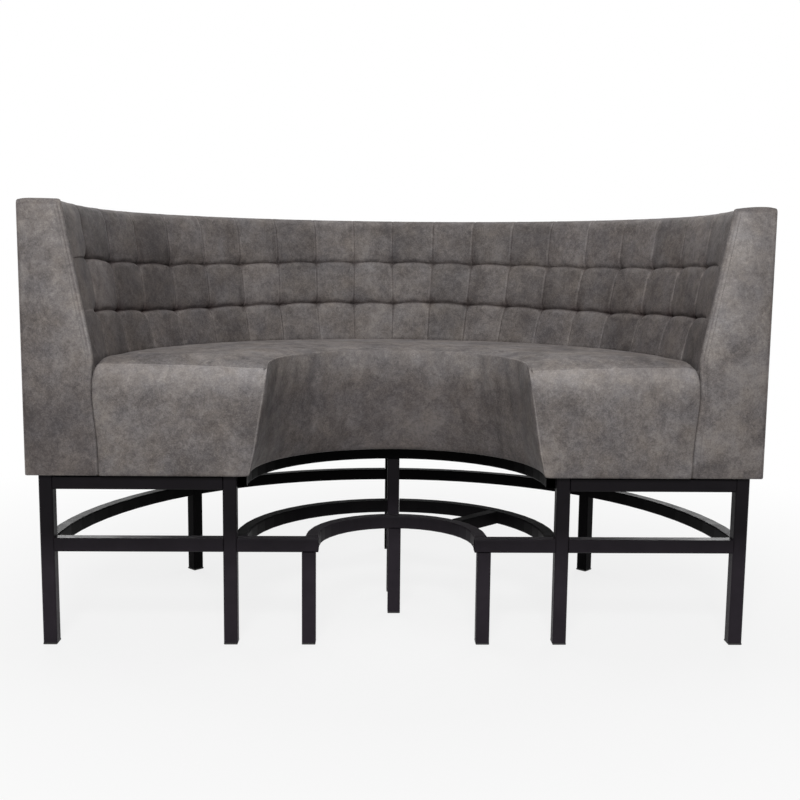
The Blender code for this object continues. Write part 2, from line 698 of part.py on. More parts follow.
def end_panel(side, sign):
    """Padded upright panel that closes one end of the back, with a domed top."""
    top = BACK_HEIGHT + PANEL_DOME
    shoulder = BACK_HEIGHT - PANEL_DOME
    levels = [(BASE_BOTTOM, 0.0, 0.0), (SEAT_HEIGHT, 0.0, 0.0), (shoulder, 0.0, 0.0)]
    arch_width = BACK_TOP_THICKNESS / 4
    for degrees in (30.0, 60.0, 80.0):
        angle = math.radians(degrees)
        rise = shoulder + (top - shoulder) * math.sin(angle)
        levels.append((rise, arch_width * (1 - math.cos(angle)), PANEL_CROWN * (1 - math.cos(angle)) / 2))
    levels.append((top, arch_width, PANEL_CROWN / 2))
    sections = [end_panel_section(sign, z, narrow, thin) for z, narrow, thin in levels]
    add_part("end_panel_" + side, loft(sections, "end_panel_" + side), SUEDE)


def shade_parts():
    """Smooth shading with sharp edges kept."""
    for obj in PARTS.objects:
        if obj.type == "MESH":
            obj.data.shade_smooth()
            obj.data.set_sharp_from_angle(angle=math.radians(35))


def main():
    legs()
    front_rails()
    bows()
    bearers()
    strut()
    boards()
    bent_panels()
    formers()
    seat_cushion()
    back_pad()
    back_cover()
    end_panel("right", 1)
    end_panel("left", -1)
    shade_parts()


main()
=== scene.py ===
"""Looks of the half-round bar sofa: mottled grey suede-look upholstery on a black powder-coated base.

Metres, +Z up, open side towards -Y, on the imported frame. The covers are sewn forms: their outlines
follow the frame's solids, their swell comes from a cloth simulation, and their seams are modelled.
"""
import math

import bpy
import numpy as np
from mathutils import Matrix, Vector


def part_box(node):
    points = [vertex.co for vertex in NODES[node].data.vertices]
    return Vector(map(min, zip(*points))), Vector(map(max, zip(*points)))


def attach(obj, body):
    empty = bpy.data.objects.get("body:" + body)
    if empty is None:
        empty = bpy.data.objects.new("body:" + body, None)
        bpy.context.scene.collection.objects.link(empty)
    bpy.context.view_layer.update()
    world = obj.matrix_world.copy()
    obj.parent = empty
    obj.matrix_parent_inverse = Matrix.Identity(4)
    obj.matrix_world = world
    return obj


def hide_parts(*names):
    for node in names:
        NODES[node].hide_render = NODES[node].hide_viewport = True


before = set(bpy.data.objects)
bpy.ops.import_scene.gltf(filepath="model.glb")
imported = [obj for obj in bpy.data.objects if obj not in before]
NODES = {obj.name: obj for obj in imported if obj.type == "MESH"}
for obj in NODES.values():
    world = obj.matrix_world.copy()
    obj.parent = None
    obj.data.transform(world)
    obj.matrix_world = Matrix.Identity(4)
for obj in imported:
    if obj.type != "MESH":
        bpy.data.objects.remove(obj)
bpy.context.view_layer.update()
RANDOM = np.random.default_rng(7)

# Places read from the frame
PANEL_LOW, PANEL_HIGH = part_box("end_panel_right")
OUTER_RADIUS = PANEL_HIGH.x
FRONT_Y = PANEL_LOW.y
BASE_BOTTOM = PANEL_LOW.z
PANEL_TOP = PANEL_HIGH.z
PANEL_BACK_Y = PANEL_HIGH.y
PAD_LOW, PAD_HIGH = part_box("back_pad")
BACK_HEIGHT = PAD_HIGH.z
PAD_FOOT = PAD_LOW.z
PAD_OUTER = PAD_HIGH.x
TOP_RAIL_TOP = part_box("back_top_rail")[1].z
COVER_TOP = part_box("back_cover")[1].z
LEG_FRONT_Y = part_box("leg_front_outer_right")[0].y

# Body's sizes
SEAT_HEIGHT = 0.800
SEAT_CROWN = 0.006
BACK_LEAD = 0.090  # straight run of the back from its front end to the half circle
BACK_TOP_THICKNESS = 0.115
BACK_SEAT_THICKNESS = 0.191
BACK_FOOT_THICKNESS = 0.197
NOSE_TOP_RADIUS = 0.353  # concave front of the seat, at seat height
NOSE_FOOT_RADIUS = 0.406  # concave front of the seat, at the bottom edge
NOSE_SETBACK = 0.040  # centre of the concave front, behind the body's front face
NOSE_BULGE = 0.004
BACK_PAD = 0.050
BACK_COVER = 0.012
CENTRE_Y = FRONT_Y + BACK_LEAD
NOSE_Y = FRONT_Y + NOSE_SETBACK
SEAT_PRESS = 0.009  # the seat's padding presses outwards against the end panels
PRESS_FOOT = 0.550
CLEAR = 0.0012  # between neighbouring covers

# Tufting
TUFT_COLUMNS = 20
TUFT_ROWS = 3
TUFT_ROW = 0.1415  # height of a row, counted down from the top
TOP_ROLL = 0.034  # round from the tufted face into the top
SEAM_DEPTH = 0.0050
SEAM_ROUND = 0.009  # a cell's round towards an upright seam
SEAM_OFFSETS = (0.0, 0.0012, 0.004, 0.0085, 0.015, 0.025, 0.039, 0.055)  # grid lines beside a seam
CREASE_OFFSETS = (0.0, 0.0012, 0.0045, 0.0095, 0.016, 0.024, 0.035, 0.049)  # and beside a crease
ON_LINE = 1e-6  # nearer than this is on the line itself
SEAM_SHADES = (0.8, 0.55)  # painted shade in a seam's groove, on the face and on the top
LAP_HIGHLIGHTS = (0.75, 0.20)  # painted highlight on a seam's lapped edge, on its left and on its right
LAP_PLACE = (0.004, 0.0025)  # its distance from the seam, and half width
CREASE_DEPTH = 0.008
CREASE_ABOVE = 0.010  # reach of a crease into the cell above, which folds in under itself
CREASE_BELOW = 0.009  # reach into the cell below, whose top edge stands out
TUFT_DEPTH = 0.011
TUFT_REACH = 0.020
TUFT_SHADE = (0.50, 0.020, 0.034)  # painted shade in the dimple above a tuft: most, reach across, reach up
TUFT_SHADE_BELOW = 0.012  # its reach down
TUFT_HIGHLIGHT_LOST = 0.8  # share of the painted highlights that is lost at a tuft
TUFT_SAG = 0.0065  # a crease hangs this much lower at its tufts
SAG_REACH = 0.035  # up and down from the crease
SIDE_SAG = 0.7  # as a share of that in the middle of the back
TUFT_DRIFT = 0.0025  # how far hand work moves a tuft off its place
TOP_DRIFT = 0.3  # share of this on the top line
FOLD_SHADE = (0.50, 0.016)  # painted shade under the fold above the lower crease: most, reach up
CREASE_LINES = (0.72, 1.12)  # painted shade as a dark line along a crease: its strength at the right end and at the left end
CREASE_LINE_WIDTH = 0.0025  # half width
CREASE_HIGHLIGHT = (0.40, 0.007, 0.005)  # painted highlight on the lit top edge of the cell below a crease: most, distance and half width
TOP_FILL = 0.7  # the seams are this much shallower on the top
TOP_STRAYS = (0.4, 0.85)  # share of a seam's stray that stays on the top, at the sides and in the middle
ROLL_DEGREES = (20.0, 40.0, 60.0, 80.0, 90.0)
TOP_FLAT = (0.018, 0.008)  # the top's flat lines: behind the roll, and before the pad's back
FLAT_SEAMS = (1.0, 0.6, 0.4)  # depth of the seams on these lines and at the back
FLAT_RISES = (1.0, 0.5, 0.0)  # and their share of the top edge's rise
TOP_RINGS = len(ROLL_DEGREES) + len(FLAT_SEAMS)
FREE_RINGS = 4  # first of these, which swell with the face
RAIL_GAP = 0.0003  # between the pad and the rail that carries it
CELL_FILLS = (0.6, 1.4)  # some cells are fuller than others
CELL_TINTS = (0.8, 1.6)  # spread of the cells' tones, in the middle and at the sides
SIDE_SHADE = 0.50  # painted shade on the sides, which face away from the light
PILLOW = 0.005  # crown of a cell
RIGHT_RISE = (0.006, 0.18)  # rise of the top edge towards each end panel, and its reach
LEFT_RISE = (0.0105, 0.25)
RIGHT_PLAIN = (0.010, 0.060)  # a crease dies away between these distances from the pad's end
LEFT_PLAIN = (0.085, 0.132)
# Millimetres along the back by which the seams stray, for every second column
# and on each line from the top
SEAM_SHIFTS = ((0, 14, 17, 15, 8, 0, -17, -25, -29, -25, 0),
               (0, 17, 18, 16, 9, 0, -17, -26, -29, -24, 0),
               (0, 17, 32, 22, 13, -1, -10, -26, -25, -11, 0),
               (0, 34, 42, 35, 22, 2, -16, -28, -38, -28, 0))
ROW_TURNS = (0, 15, 33, 45, 62, 81, 90, 108, 127, 147, 165, 180)  # degrees round the back
ROW_DIPS = (6, 11, 16, 14, 9, 1, 3, 6, 13, 21, 12, 0)  # mm by which the rows hang there
PAD_DIP = 0.045  # how far the tufted face goes on behind the seat
DIP_SHARES = (0.15, 0.5, 1.0)
BACK_SWELL = (2.0, 0.010, 0.003)  # pressure, slack of the cloth and most movement


def part_way(value, low, high):
    """Share of the way from low to high, between 0 and 1."""
    return np.clip((value - low) / (high - low), 0.0, 1.0)


def back_face(z):
    """Radius of the tufted face's crests at a height; the face leans back."""
    lean = (BACK_SEAT_THICKNESS - BACK_TOP_THICKNESS) / (BACK_HEIGHT - SEAT_HEIGHT)
    return OUTER_RADIUS - BACK_TOP_THICKNESS - lean * (BACK_HEIGHT - z)


def panel_edge(z):
    """Inner edge of the end panels: the tufted face's line above the seat, almost upright below it."""
    down = (SEAT_HEIGHT - z) / (SEAT_HEIGHT - BASE_BOTTOM)
    below = OUTER_RADIUS - BACK_SEAT_THICKNESS - down * (BACK_FOOT_THICKNESS - BACK_SEAT_THICKNESS)
    press = part_way(z, PRESS_FOOT, SEAT_HEIGHT) ** 1.5
    below = below + SEAT_PRESS * np.sin(math.pi * press)
    return np.where(z >= SEAT_HEIGHT, back_face(np.minimum(z, BACK_HEIGHT)), below)


def nose_face(z):
    """Radius of the seat's concave front, which rakes back towards the bottom."""
    down = (SEAT_HEIGHT - z) / (SEAT_HEIGHT - BASE_BOTTOM)
    return NOSE_TOP_RADIUS + down * (NOSE_FOOT_RADIUS - NOSE_TOP_RADIUS)


def back_point(radius, run, pace, lead, centre_y=CENTRE_Y):
    """Plan of points on a half circle with straight ends, a run along it from the right end; pace is
    the radius on which the run is measured and lead the straight length at each end."""
    angle = np.clip((run - lead) / pace, 0.0, math.pi)
    before = np.maximum(lead - run, 0.0)
    after = np.maximum(run - lead - math.pi * pace, 0.0)
    return radius * np.cos(angle), centre_y + radius * np.sin(angle) - before - after


# Mesh helpers

def grid_faces(rows, columns, first=0):
    """Quads of a grid of vertices, row after row."""
    faces = []
    for i in range(rows - 1):
        for j in range(columns - 1):
            corner = first + i * columns + j
            faces.append((corner, corner + 1, corner + columns + 1, corner + columns))
    return faces


def closed_sweep(rings, size):
    """Faces of a closed loop of vertices swept along a line, with a face over each end."""
    faces = []
    for i in range(rings - 1):
        here, there = i * size, (i + 1) * size
        for j in range(size):
            k = (j + 1) % size
            faces.append((there + j, there + k, here + k, here + j))
    faces.append(tuple(range(size)))
    faces.append(tuple(range(rings * size - 1, (rings - 1) * size - 1, -1)))
    return faces


def new_object(name, data):
    obj = bpy.data.objects.new(name, data)
    bpy.context.scene.collection.objects.link(obj)
    return obj


def add_mesh(name, points, faces, material):
    """New smooth-shaded piece that rides on the sofa."""
    mesh = bpy.data.meshes.new(name)
    mesh.from_pydata(np.asarray(points).reshape(-1, 3).tolist(), [], faces)
    mesh.validate()
    mesh.shade_smooth()
    mesh.materials.append(material)
    obj = new_object(name, mesh)
    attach(obj, "root")
    return obj


def coordinates(mesh):
    values = np.empty(len(mesh.vertices) * 3)
    mesh.vertices.foreach_get("co", values)
    return values.reshape(-1, 3)


def set_coordinates(mesh, values):
    mesh.vertices.foreach_set("co", values.ravel())
    mesh.update()


def set_attributes(obj, **attributes):
    for name, values in attributes.items():
        attribute = obj.data.attributes.new(name, "FLOAT", "POINT")
        attribute.data.foreach_set("value", np.asarray(values, np.float32).ravel())


def subdivide(obj, levels=1):
    modifier = obj.modifiers.new("smooth", "SUBSURF")
    modifier.levels = levels
    modifier.render_levels = levels


def thicken(obj, thickness, offset):
    modifier = obj.modifiers.new("wall", "SOLIDIFY")
    modifier.thickness = thickness
    modifier.offset = offset


SIMULATED_FRAMES = 20
CLOTH = {"quality": 5, "mass": 0.3, "tension_stiffness": 25.0, "compression_stiffness": 25.0,
         "shear_stiffness": 10.0, "bending_stiffness": 1.0, "tension_damping": 15.0, "air_damping": 2.0}


def swell(obj, sewn, pressure, slack, cap):
    """Swells a cover by cloth simulation; sewn marks the vertices that stay, cap limits the movement."""
    start = coordinates(obj.data)
    group = obj.vertex_groups.new(name="sewn")
    group.add(np.flatnonzero(sewn).tolist(), 1.0, "REPLACE")
    cloth = obj.modifiers.new("cloth", "CLOTH")
    settings = cloth.settings
    for key, value in CLOTH.items():
        setattr(settings, key, value)
    settings.shrink_min = -slack
    settings.use_pressure = True
    settings.uniform_pressure_force = pressure
    settings.effector_weights.gravity = 0.0
    settings.vertex_group_mass = group.name
    cloth.collision_settings.use_collision = False
    cloth.point_cache.frame_end = SIMULATED_FRAMES
    scene = bpy.context.scene
    for number in range(1, SIMULATED_FRAMES + 1):
        scene.frame_set(number)
    evaluated = obj.evaluated_get(bpy.context.evaluated_depsgraph_get())
    move = coordinates(evaluated.data) - start
    length = np.linalg.norm(move, axis=1, keepdims=True)
    move *= np.minimum(1.0, cap / np.maximum(length, 1e-9))
    obj.modifiers.remove(cloth)
    obj.vertex_groups.remove(group)
    set_coordinates(obj.data, start + move)
    scene.frame_set(1)


STITCH = (0.0042, 0.0005)  # length and radius
STITCH_PITCH = 0.0062
STITCH_SIDES = 6
# Rings of a stitch: place along its half length, and share of its radius
STITCH_RINGS = ((-1.0, 0.4), (-0.8, 1.0), (0.8, 1.0), (1.0, 0.4))


def stitches(name, cloth, line, material, size=STITCH, pitch=STITCH_PITCH):
    """Row of small rounded bars along a line on a piece of cloth."""
    steps = np.linalg.norm(np.diff(line, axis=0), axis=1)
    travel = np.concatenate(([0.0], np.cumsum(steps)))
    places = np.arange(pitch / 2, travel[-1], pitch)
    length, radius = size
    rings = [(place * length / 2, radius * thick) for place, thick in STITCH_RINGS]
    turns = np.radians(np.arange(STITCH_SIDES) * 360.0 / STITCH_SIDES)
    bar = [face[::-1] for face in closed_sweep(len(rings), STITCH_SIDES)]
    graph = bpy.context.evaluated_depsgraph_get()
    points, faces = [], []
    for place in places:
        ends = [Vector([np.interp(place + reach, travel, line[:, axis]) for axis in range(3)])
                for reach in (-length / 2, length / 2)]
        along_line = (ends[1] - ends[0]).normalized()
        between = (ends[0] + ends[1]) / 2
        _, middle, normal, _ = cloth.closest_point_on_mesh(between, depsgraph=graph)
        side = normal.cross(along_line).normalized()
        first = len(points)
        for reach, thick in rings:
            for turn in turns:
                offset = side * math.cos(turn) * thick + normal * (math.sin(turn) * thick + radius / 2)
                points.append(middle + along_line * reach + offset)
        faces += [tuple(first + corner for corner in face) for face in bar]
    return add_mesh(name, points, faces, material)


# Materials

def new_material(name):
    material = bpy.data.materials.new(name)
    material.use_nodes = True
    tree = material.node_tree
    return material, tree, tree.nodes["Principled BSDF"]


def add_node(tree, kind, **values):
    """Node with its properties and its input values set by name."""
    node = tree.nodes.new(kind)
    for key, value in values.items():
        if key in node.inputs:
            node.inputs[key].default_value = value
        else:
            setattr(node, key, value)
    return node


def object_vector(tree, **mapping):
    """Object coordinates, shifted or scaled where asked."""
    vector = tree.nodes.new("ShaderNodeTexCoord").outputs["Object"]
    if mapping:
        node = add_node(tree, "ShaderNodeMapping", **mapping)
        tree.links.new(vector, node.inputs["Vector"])
        vector = node.outputs["Vector"]
    return vector


def noise(tree, vector, scale, detail, roughness=0.6, distortion=0.0):
    node = add_node(tree, "ShaderNodeTexNoise", Scale=scale, Detail=detail, Roughness=roughness,
                    Distortion=distortion)
    tree.links.new(vector, node.inputs["Vector"])
    return node.outputs["Fac"]


def maths(tree, operation, first, second, third=None):
    node = tree.nodes.new("ShaderNodeMath")
    node.operation = operation
    for socket, value in zip(node.inputs, (first, second, third)):
        if value is None:
            continue
        if isinstance(value, (int, float)):
            socket.default_value = value
        else:
            tree.links.new(value, socket)
    return node.outputs["Value"]


def span(tree, value, low, high, new_low, new_high):
    """Maps a value from one range to another, clamped."""
    node = tree.nodes.new("ShaderNodeMapRange")
    tree.links.new(value, node.inputs["Value"])
    ranges = (("From Min", low), ("From Max", high), ("To Min", new_low), ("To Max", new_high))
    for key, number in ranges:
        node.inputs[key].default_value = number
    return node.outputs["Result"]


def ramp(tree, value, *stops):
    """Colour by a value, between two or more stops of position and colour."""
    node = tree.nodes.new("ShaderNodeValToRGB")
    elements = node.color_ramp.elements
    for _ in stops[2:]:
        elements.new(0.5)
    for element, (position, colour) in zip(elements, stops):
        element.position = position
        element.color = (*colour, 1.0)
    tree.links.new(value, node.inputs["Fac"])
    return node.outputs["Color"]


def times(tree, first, second):
    """Product of two colours."""
    node = add_node(tree, "ShaderNodeMix", data_type="RGBA", blend_type="MULTIPLY")
    factor, a, b = (node.inputs[place] for place in (0, 6, 7))
    factor.default_value = 1.0
    tree.links.new(first, a)
    tree.links.new(second, b)
    return node.outputs[2]


def bump(tree, shader, height, strength, distance, before=None):
    node = add_node(tree, "ShaderNodeBump", Strength=strength, Distance=distance)
    tree.links.new(height, node.inputs["Height"])
    if before is not None:
        tree.links.new(before, node.inputs["Normal"])
    tree.links.new(node.outputs["Normal"], shader.inputs["Normal"])
    return node.outputs["Normal"]


NOISE_RANGE = (0.3, 0.7)  # most of a noise's values lie between these
SUEDE_DARK = (0.086, 0.0768, 0.0760)
SUEDE_MID = (0.152, 0.1365, 0.1330)
SUEDE_LIGHT = (0.238, 0.2175, 0.2080)
HUE_COOL = (0.95, 0.97, 1.0)  # the cloth's dye varies a little from place to place
HUE_WARM = (1.0, 0.97, 0.92)
TINT_GAIN = (0.13, 0.13, 0.13)
PAINTED_LIGHT_GAIN = (0.418, 0.440, 0.438)  # painted light makes the cloth lighter and greyer
SHADE_GAIN = (-0.555, -0.598, -0.595)  # painted shade darkens the cloth and makes it a little redder
PAINTED_LIGHT_EVENS = 0.20  # the mottling is plainer where light is painted
# Noise in the cloth's tone: scale, detail, roughness, distortion, and weight
SUEDE_LAYERS = {"broad": (5.0, 3.0, 0.6, 0.4, 1.0), "clouds": (21.0, 7.0, 0.74, 0.5, 1.05),
                "flecks": (85.0, 5.0, 0.8, 0.4, 1.04), "grain": (260.0, 4.0, 0.8, 0.3, 1.14)}
HUE_NOISE = (11.0, 4.0, 0.65)
SUEDE_SURFACE = {"Specular IOR Level": 0.18, "Sheen Weight": 0.03, "Sheen Roughness": 0.45}
SUEDE_ROUGHNESS = (0.70, 0.56)
SUEDE_RELIEF = {"clouds": (0.10, 0.004), "grain": (0.22, 0.0007)}  # strength and depth


def suede(name, offset, level=1.0, cloudy=1.0):
    """Brushed microfibre with worn patches; level scales its tone and cloudy the patches' contrast.
    Three mesh attributes paint highlights on lit edges, paint shade in creases, seams and on faces
    turned from the light, and set cells apart."""
    material, tree, shader = new_material(name)
    links = tree.links
    vector = object_vector(tree, Location=offset)
    layers = {key: noise(tree, vector, *values[:4]) for key, values in SUEDE_LAYERS.items()}
    weights = {key: values[4] for key, values in SUEDE_LAYERS.items()}
    weights["clouds"] *= cloudy
    tone = -sum(weights.values()) / 2
    for key, layer in layers.items():
        tone = maths(tree, "MULTIPLY_ADD", layer, weights[key], tone)
    gain = None
    for attribute, gains in (("tint", TINT_GAIN), ("wear", PAINTED_LIGHT_GAIN), ("shade", SHADE_GAIN)):
        value = add_node(tree, "ShaderNodeAttribute", attribute_name=attribute).outputs
        node = add_node(tree, "ShaderNodeVectorMath", operation="MULTIPLY_ADD")
        links.new(value["Color"], node.inputs[0])
        node.inputs[1].default_value = [channel * level for channel in gains]
        if gain is None:
            node.inputs[2].default_value = (level, level, level)
        else:
            links.new(gain, node.inputs[2])
        gain = node.outputs["Vector"]
        if attribute == "wear":
            contrast = maths(tree, "MULTIPLY_ADD", value["Fac"], -PAINTED_LIGHT_EVENS, 1.0)
            tone = maths(tree, "MULTIPLY_ADD", tone, contrast, 0.5)
    colour = ramp(tree, tone, (0.18, SUEDE_DARK), (0.50, SUEDE_MID), (0.82, SUEDE_LIGHT))
    hue = ramp(tree, noise(tree, vector, *HUE_NOISE), (0.32, HUE_COOL), (0.68, HUE_WARM))
    for factor in (hue, gain):
        colour = times(tree, colour, factor)
    links.new(colour, shader.inputs["Base Color"])
    rough = span(tree, layers["clouds"], *NOISE_RANGE, *SUEDE_ROUGHNESS)
    links.new(rough, shader.inputs["Roughness"])
    for key, value in SUEDE_SURFACE.items():
        shader.inputs[key].default_value = value
    normal = None
    for key, relief in SUEDE_RELIEF.items():
        normal = bump(tree, shader, layers[key], *relief, normal)
    return material


COAT_SHADE_HEIGHTS = (0.21, 0.33)  # painted shade under the body: the coat keeps its tone below the first height and is darker above the second
SHADED_COAT_TONE = 0.28  # tone of the coat above, in painted shade, as a share of that below
COAT_NOISES = ((14.0, 3.0), (900.0, 2.0))  # scale and detail of the clouds and of the orange peel
COAT_ROUGHNESS = (0.42, 0.54)
COAT_RELIEF = (0.10, 0.0004)  # strength and depth


def powder_coat(name, low, high, gloss):
    """Satin black with a fine orange peel, between two tones, with painted shade that darkens it higher
    up, under the body.
    """
    material, tree, shader = new_material(name)
    vector = object_vector(tree)
    cloud, peel = (noise(tree, vector, *values) for values in COAT_NOISES)
    colour = ramp(tree, cloud, (0.3, low), (0.75, high))
    place = tree.nodes.new("ShaderNodeSeparateXYZ")
    tree.links.new(tree.nodes.new("ShaderNodeNewGeometry").outputs["Position"], place.inputs["Vector"])
    under_body_shade = span(tree, place.outputs["Z"], *COAT_SHADE_HEIGHTS, 1.0, SHADED_COAT_TONE)
    tree.links.new(times(tree, colour, under_body_shade), shader.inputs["Base Color"])
    tree.links.new(span(tree, cloud, *NOISE_RANGE, *COAT_ROUGHNESS), shader.inputs["Roughness"])
    shader.inputs["Specular IOR Level"].default_value = gloss
    bump(tree, shader, peel, *COAT_RELIEF)
    return material


def finish(name, figure, tones, rough, relief=None, **mapping):
    """Plain finish: one noise sets its tone, and its roughness and relief where these vary."""
    material, tree, shader = new_material(name)
    value = noise(tree, object_vector(tree, **mapping), *figure)
    tree.links.new(ramp(tree, value, *tones), shader.inputs["Base Color"])
    if isinstance(rough, tuple):
        tree.links.new(span(tree, value, *NOISE_RANGE, *rough), shader.inputs["Roughness"])
    else:
        shader.inputs["Roughness"].default_value = rough
    if relief:
        bump(tree, shader, value, *relief)
    return material


# The back's copy of the suede is painted darker, level 0.93, for the shade in its recess.
BACK_SUEDE = suede("suede_back", (3.1, 0.7, 1.9), 0.93)
SEAT_SUEDE = suede("suede_seat", (0.0, 5.2, 0.4))
TOP_SUEDE = suede("suede_seat_top", (0.0, 5.2, 0.4), 0.99, 1.5)
PANEL_SUEDE = suede("suede_panel", (7.3, 2.2, 4.965), 1.0, 1.15)
COVER_SUEDE = suede("suede_cover", (1.3, 8.4, 2.6))
SEAT_THREAD = finish("seam_thread", (1500.0, 2.0),
                     ((0.0, (0.10, 0.091, 0.088)), (1.0, (0.20, 0.185, 0.178))), 0.7)
STEEL = powder_coat("black_powder_coat", (0.0183, 0.0149, 0.0192), (0.0262, 0.0216, 0.0275), 0.08)
# Darker, less glossy copy of the coat for the parts under the body: painted shade and dimmed
# reflections.
SHADED_STEEL = powder_coat("black_powder_coat_shaded", (0.0070, 0.0065, 0.0072),
                          (0.0100, 0.0094, 0.0103), 0.02)
SHADED_STEEL_STARTS = ("bow_inner", "bow_outer", "bearer_", "leg_back", "footrest_strut")
PLASTIC = finish("black_glide_plastic", (180.0, 4.0),
                 ((0.0, (0.014, 0.014, 0.014)), (1.0, (0.032, 0.032, 0.031))),
                 (0.5, 0.7), (0.15, 0.0005))
WOOD = finish("birch_plywood", (1.5, 6.0, 0.6, 1.2),
              ((0.3, (0.42, 0.28, 0.15)), (0.7, (0.62, 0.46, 0.28))),
              (0.6, 0.75), (0.12, 0.0006), Scale=(3.0, 60.0, 60.0))
CAMBRIC = finish("black_cambric", (700.0, 4.0, 0.7),
                 ((0.0, (0.008, 0.008, 0.008)), (1.0, (0.026, 0.026, 0.026))),
                 0.95, (0.3, 0.0005))
PLYWOOD_STARTS = ("former_", "seat_board", "seat_apron", "base_board", "back_inner_panel",
                  "back_outer_panel", "back_top_rail")


def dress_frame():
    """Finish of the frame's own nodes."""
    for name, node in NODES.items():
        # parts under the body get the coat's copy painted darker for their shade
        material = SHADED_STEEL if name.startswith(SHADED_STEEL_STARTS) else STEEL
        if name.startswith("glide_"):
            material = PLASTIC
        elif name.startswith(PLYWOOD_STARTS):
            material = WOOD
        node.data.materials.clear()
        node.data.materials.append(material)


# Tufted back pad

def spaced(offsets, length):
    """Places across a length: these offsets from both ends and the middle."""
    near = [offset for offset in offsets if offset < length / 2]
    return near + [length / 2] + [length - offset for offset in reversed(near[1:])]


def rolled(distance, reach, depth):
    """Depth of a padded edge: a quarter round that ends upright at the seam."""
    share = np.clip(1 - distance / reach, 0.0, 1.0)
    return depth * (1 - np.sqrt(1 - share ** 2))


def eased(value, low, high):
    """Smooth step from 0 at low to 1 at high."""
    share = part_way(value, low, high)
    return share * share * (3 - 2 * share)


def bell(distance, reach):
    """1 at no distance, dying away on both sides."""
    return np.exp(-(distance / reach) ** 2)


def drift_field(column, row):
    """Small smooth shift of every tuft off its place, between 0 on the outer border and TUFT_DRIFT."""
    shifts = RANDOM.uniform(-TUFT_DRIFT, TUFT_DRIFT, (2, TUFT_ROWS + 1, TUFT_COLUMNS + 1))
    shifts[:, 0, :] *= TOP_DRIFT
    shifts[:, :, (0, -1)] = 0.0
    for number, strays in enumerate(SEAM_SHIFTS):
        measured = np.linspace(0, TUFT_COLUMNS, len(strays))
        shifts[0, number] += np.interp(np.arange(TUFT_COLUMNS + 1), measured, strays) / 1000
    i = np.clip(np.floor(row).astype(int), 0, TUFT_ROWS - 1)
    j = np.clip(np.floor(column).astype(int), 0, TUFT_COLUMNS - 1)
    down, across = row - i, column - j
    top = shifts[:, i, j] * (1 - across) + shifts[:, i, j + 1] * across
    bottom = shifts[:, i + 1, j] * (1 - across) + shifts[:, i + 1, j + 1] * across
    return top * (1 - down) + bottom * down


def pad_lines(cell, length):
    """Grid lines of the tufted face: along the back, and down from the top, the lowest first."""
    across = spaced(SEAM_OFFSETS, cell)
    runs = [column * cell + place for column in range(TUFT_COLUMNS) for place in across]
    down = spaced(CREASE_OFFSETS, TUFT_ROW)
    drops = np.array([row * TUFT_ROW + place for row in range(TUFT_ROWS) for place in down])
    drops = drops[drops > TOP_ROLL]
    bottom = BACK_HEIGHT - SEAT_HEIGHT
    dips = bottom + PAD_DIP * np.array(DIP_SHARES)
    return np.array(runs + [length]), np.concatenate((drops[drops < bottom], dips))[::-1]


def pad_top(top_run, seam_gap, rise, pace, lead):
    """Roll over the top edge and the pad's plain back, on from the tufted face's upper border."""
    brow = back_face(BACK_HEIGHT - TOP_ROLL)
    over = np.radians(ROLL_DEGREES)
    seam = rolled(seam_gap, SEAM_ROUND, SEAM_DEPTH) * (1 - TOP_FILL * np.sin(over))
    arc_radius = brow + TOP_ROLL - (TOP_ROLL - seam) * np.cos(over)
    arc_height = BACK_HEIGHT - TOP_ROLL + (TOP_ROLL - seam) * np.sin(over) + rise
    behind_roll, before_back = TOP_FLAT
    flat_radius = (brow + TOP_ROLL + behind_roll, PAD_OUTER - before_back, PAD_OUTER)
    flat_height = BACK_HEIGHT - seam[:, -1:] * np.array(FLAT_SEAMS) + rise * np.array(FLAT_RISES)
    back_radius = (PAD_OUTER, back_face(TOP_RAIL_TOP) + BACK_PAD, back_face(PAD_FOOT) + BACK_PAD,
                   back_face(SEAT_HEIGHT) + BACK_PAD / 4)
    back_height = (TOP_RAIL_TOP + RAIL_GAP, TOP_RAIL_TOP + RAIL_GAP, PAD_FOOT, PAD_FOOT)
    ones = np.ones((len(top_run), 1))
    radius = np.hstack((arc_radius, ones * flat_radius, ones * back_radius))
    height = np.hstack((arc_height, flat_height, ones * back_height))
    x, y = back_point(radius, top_run, pace, lead)
    return np.stack((x, y, height), axis=-1)


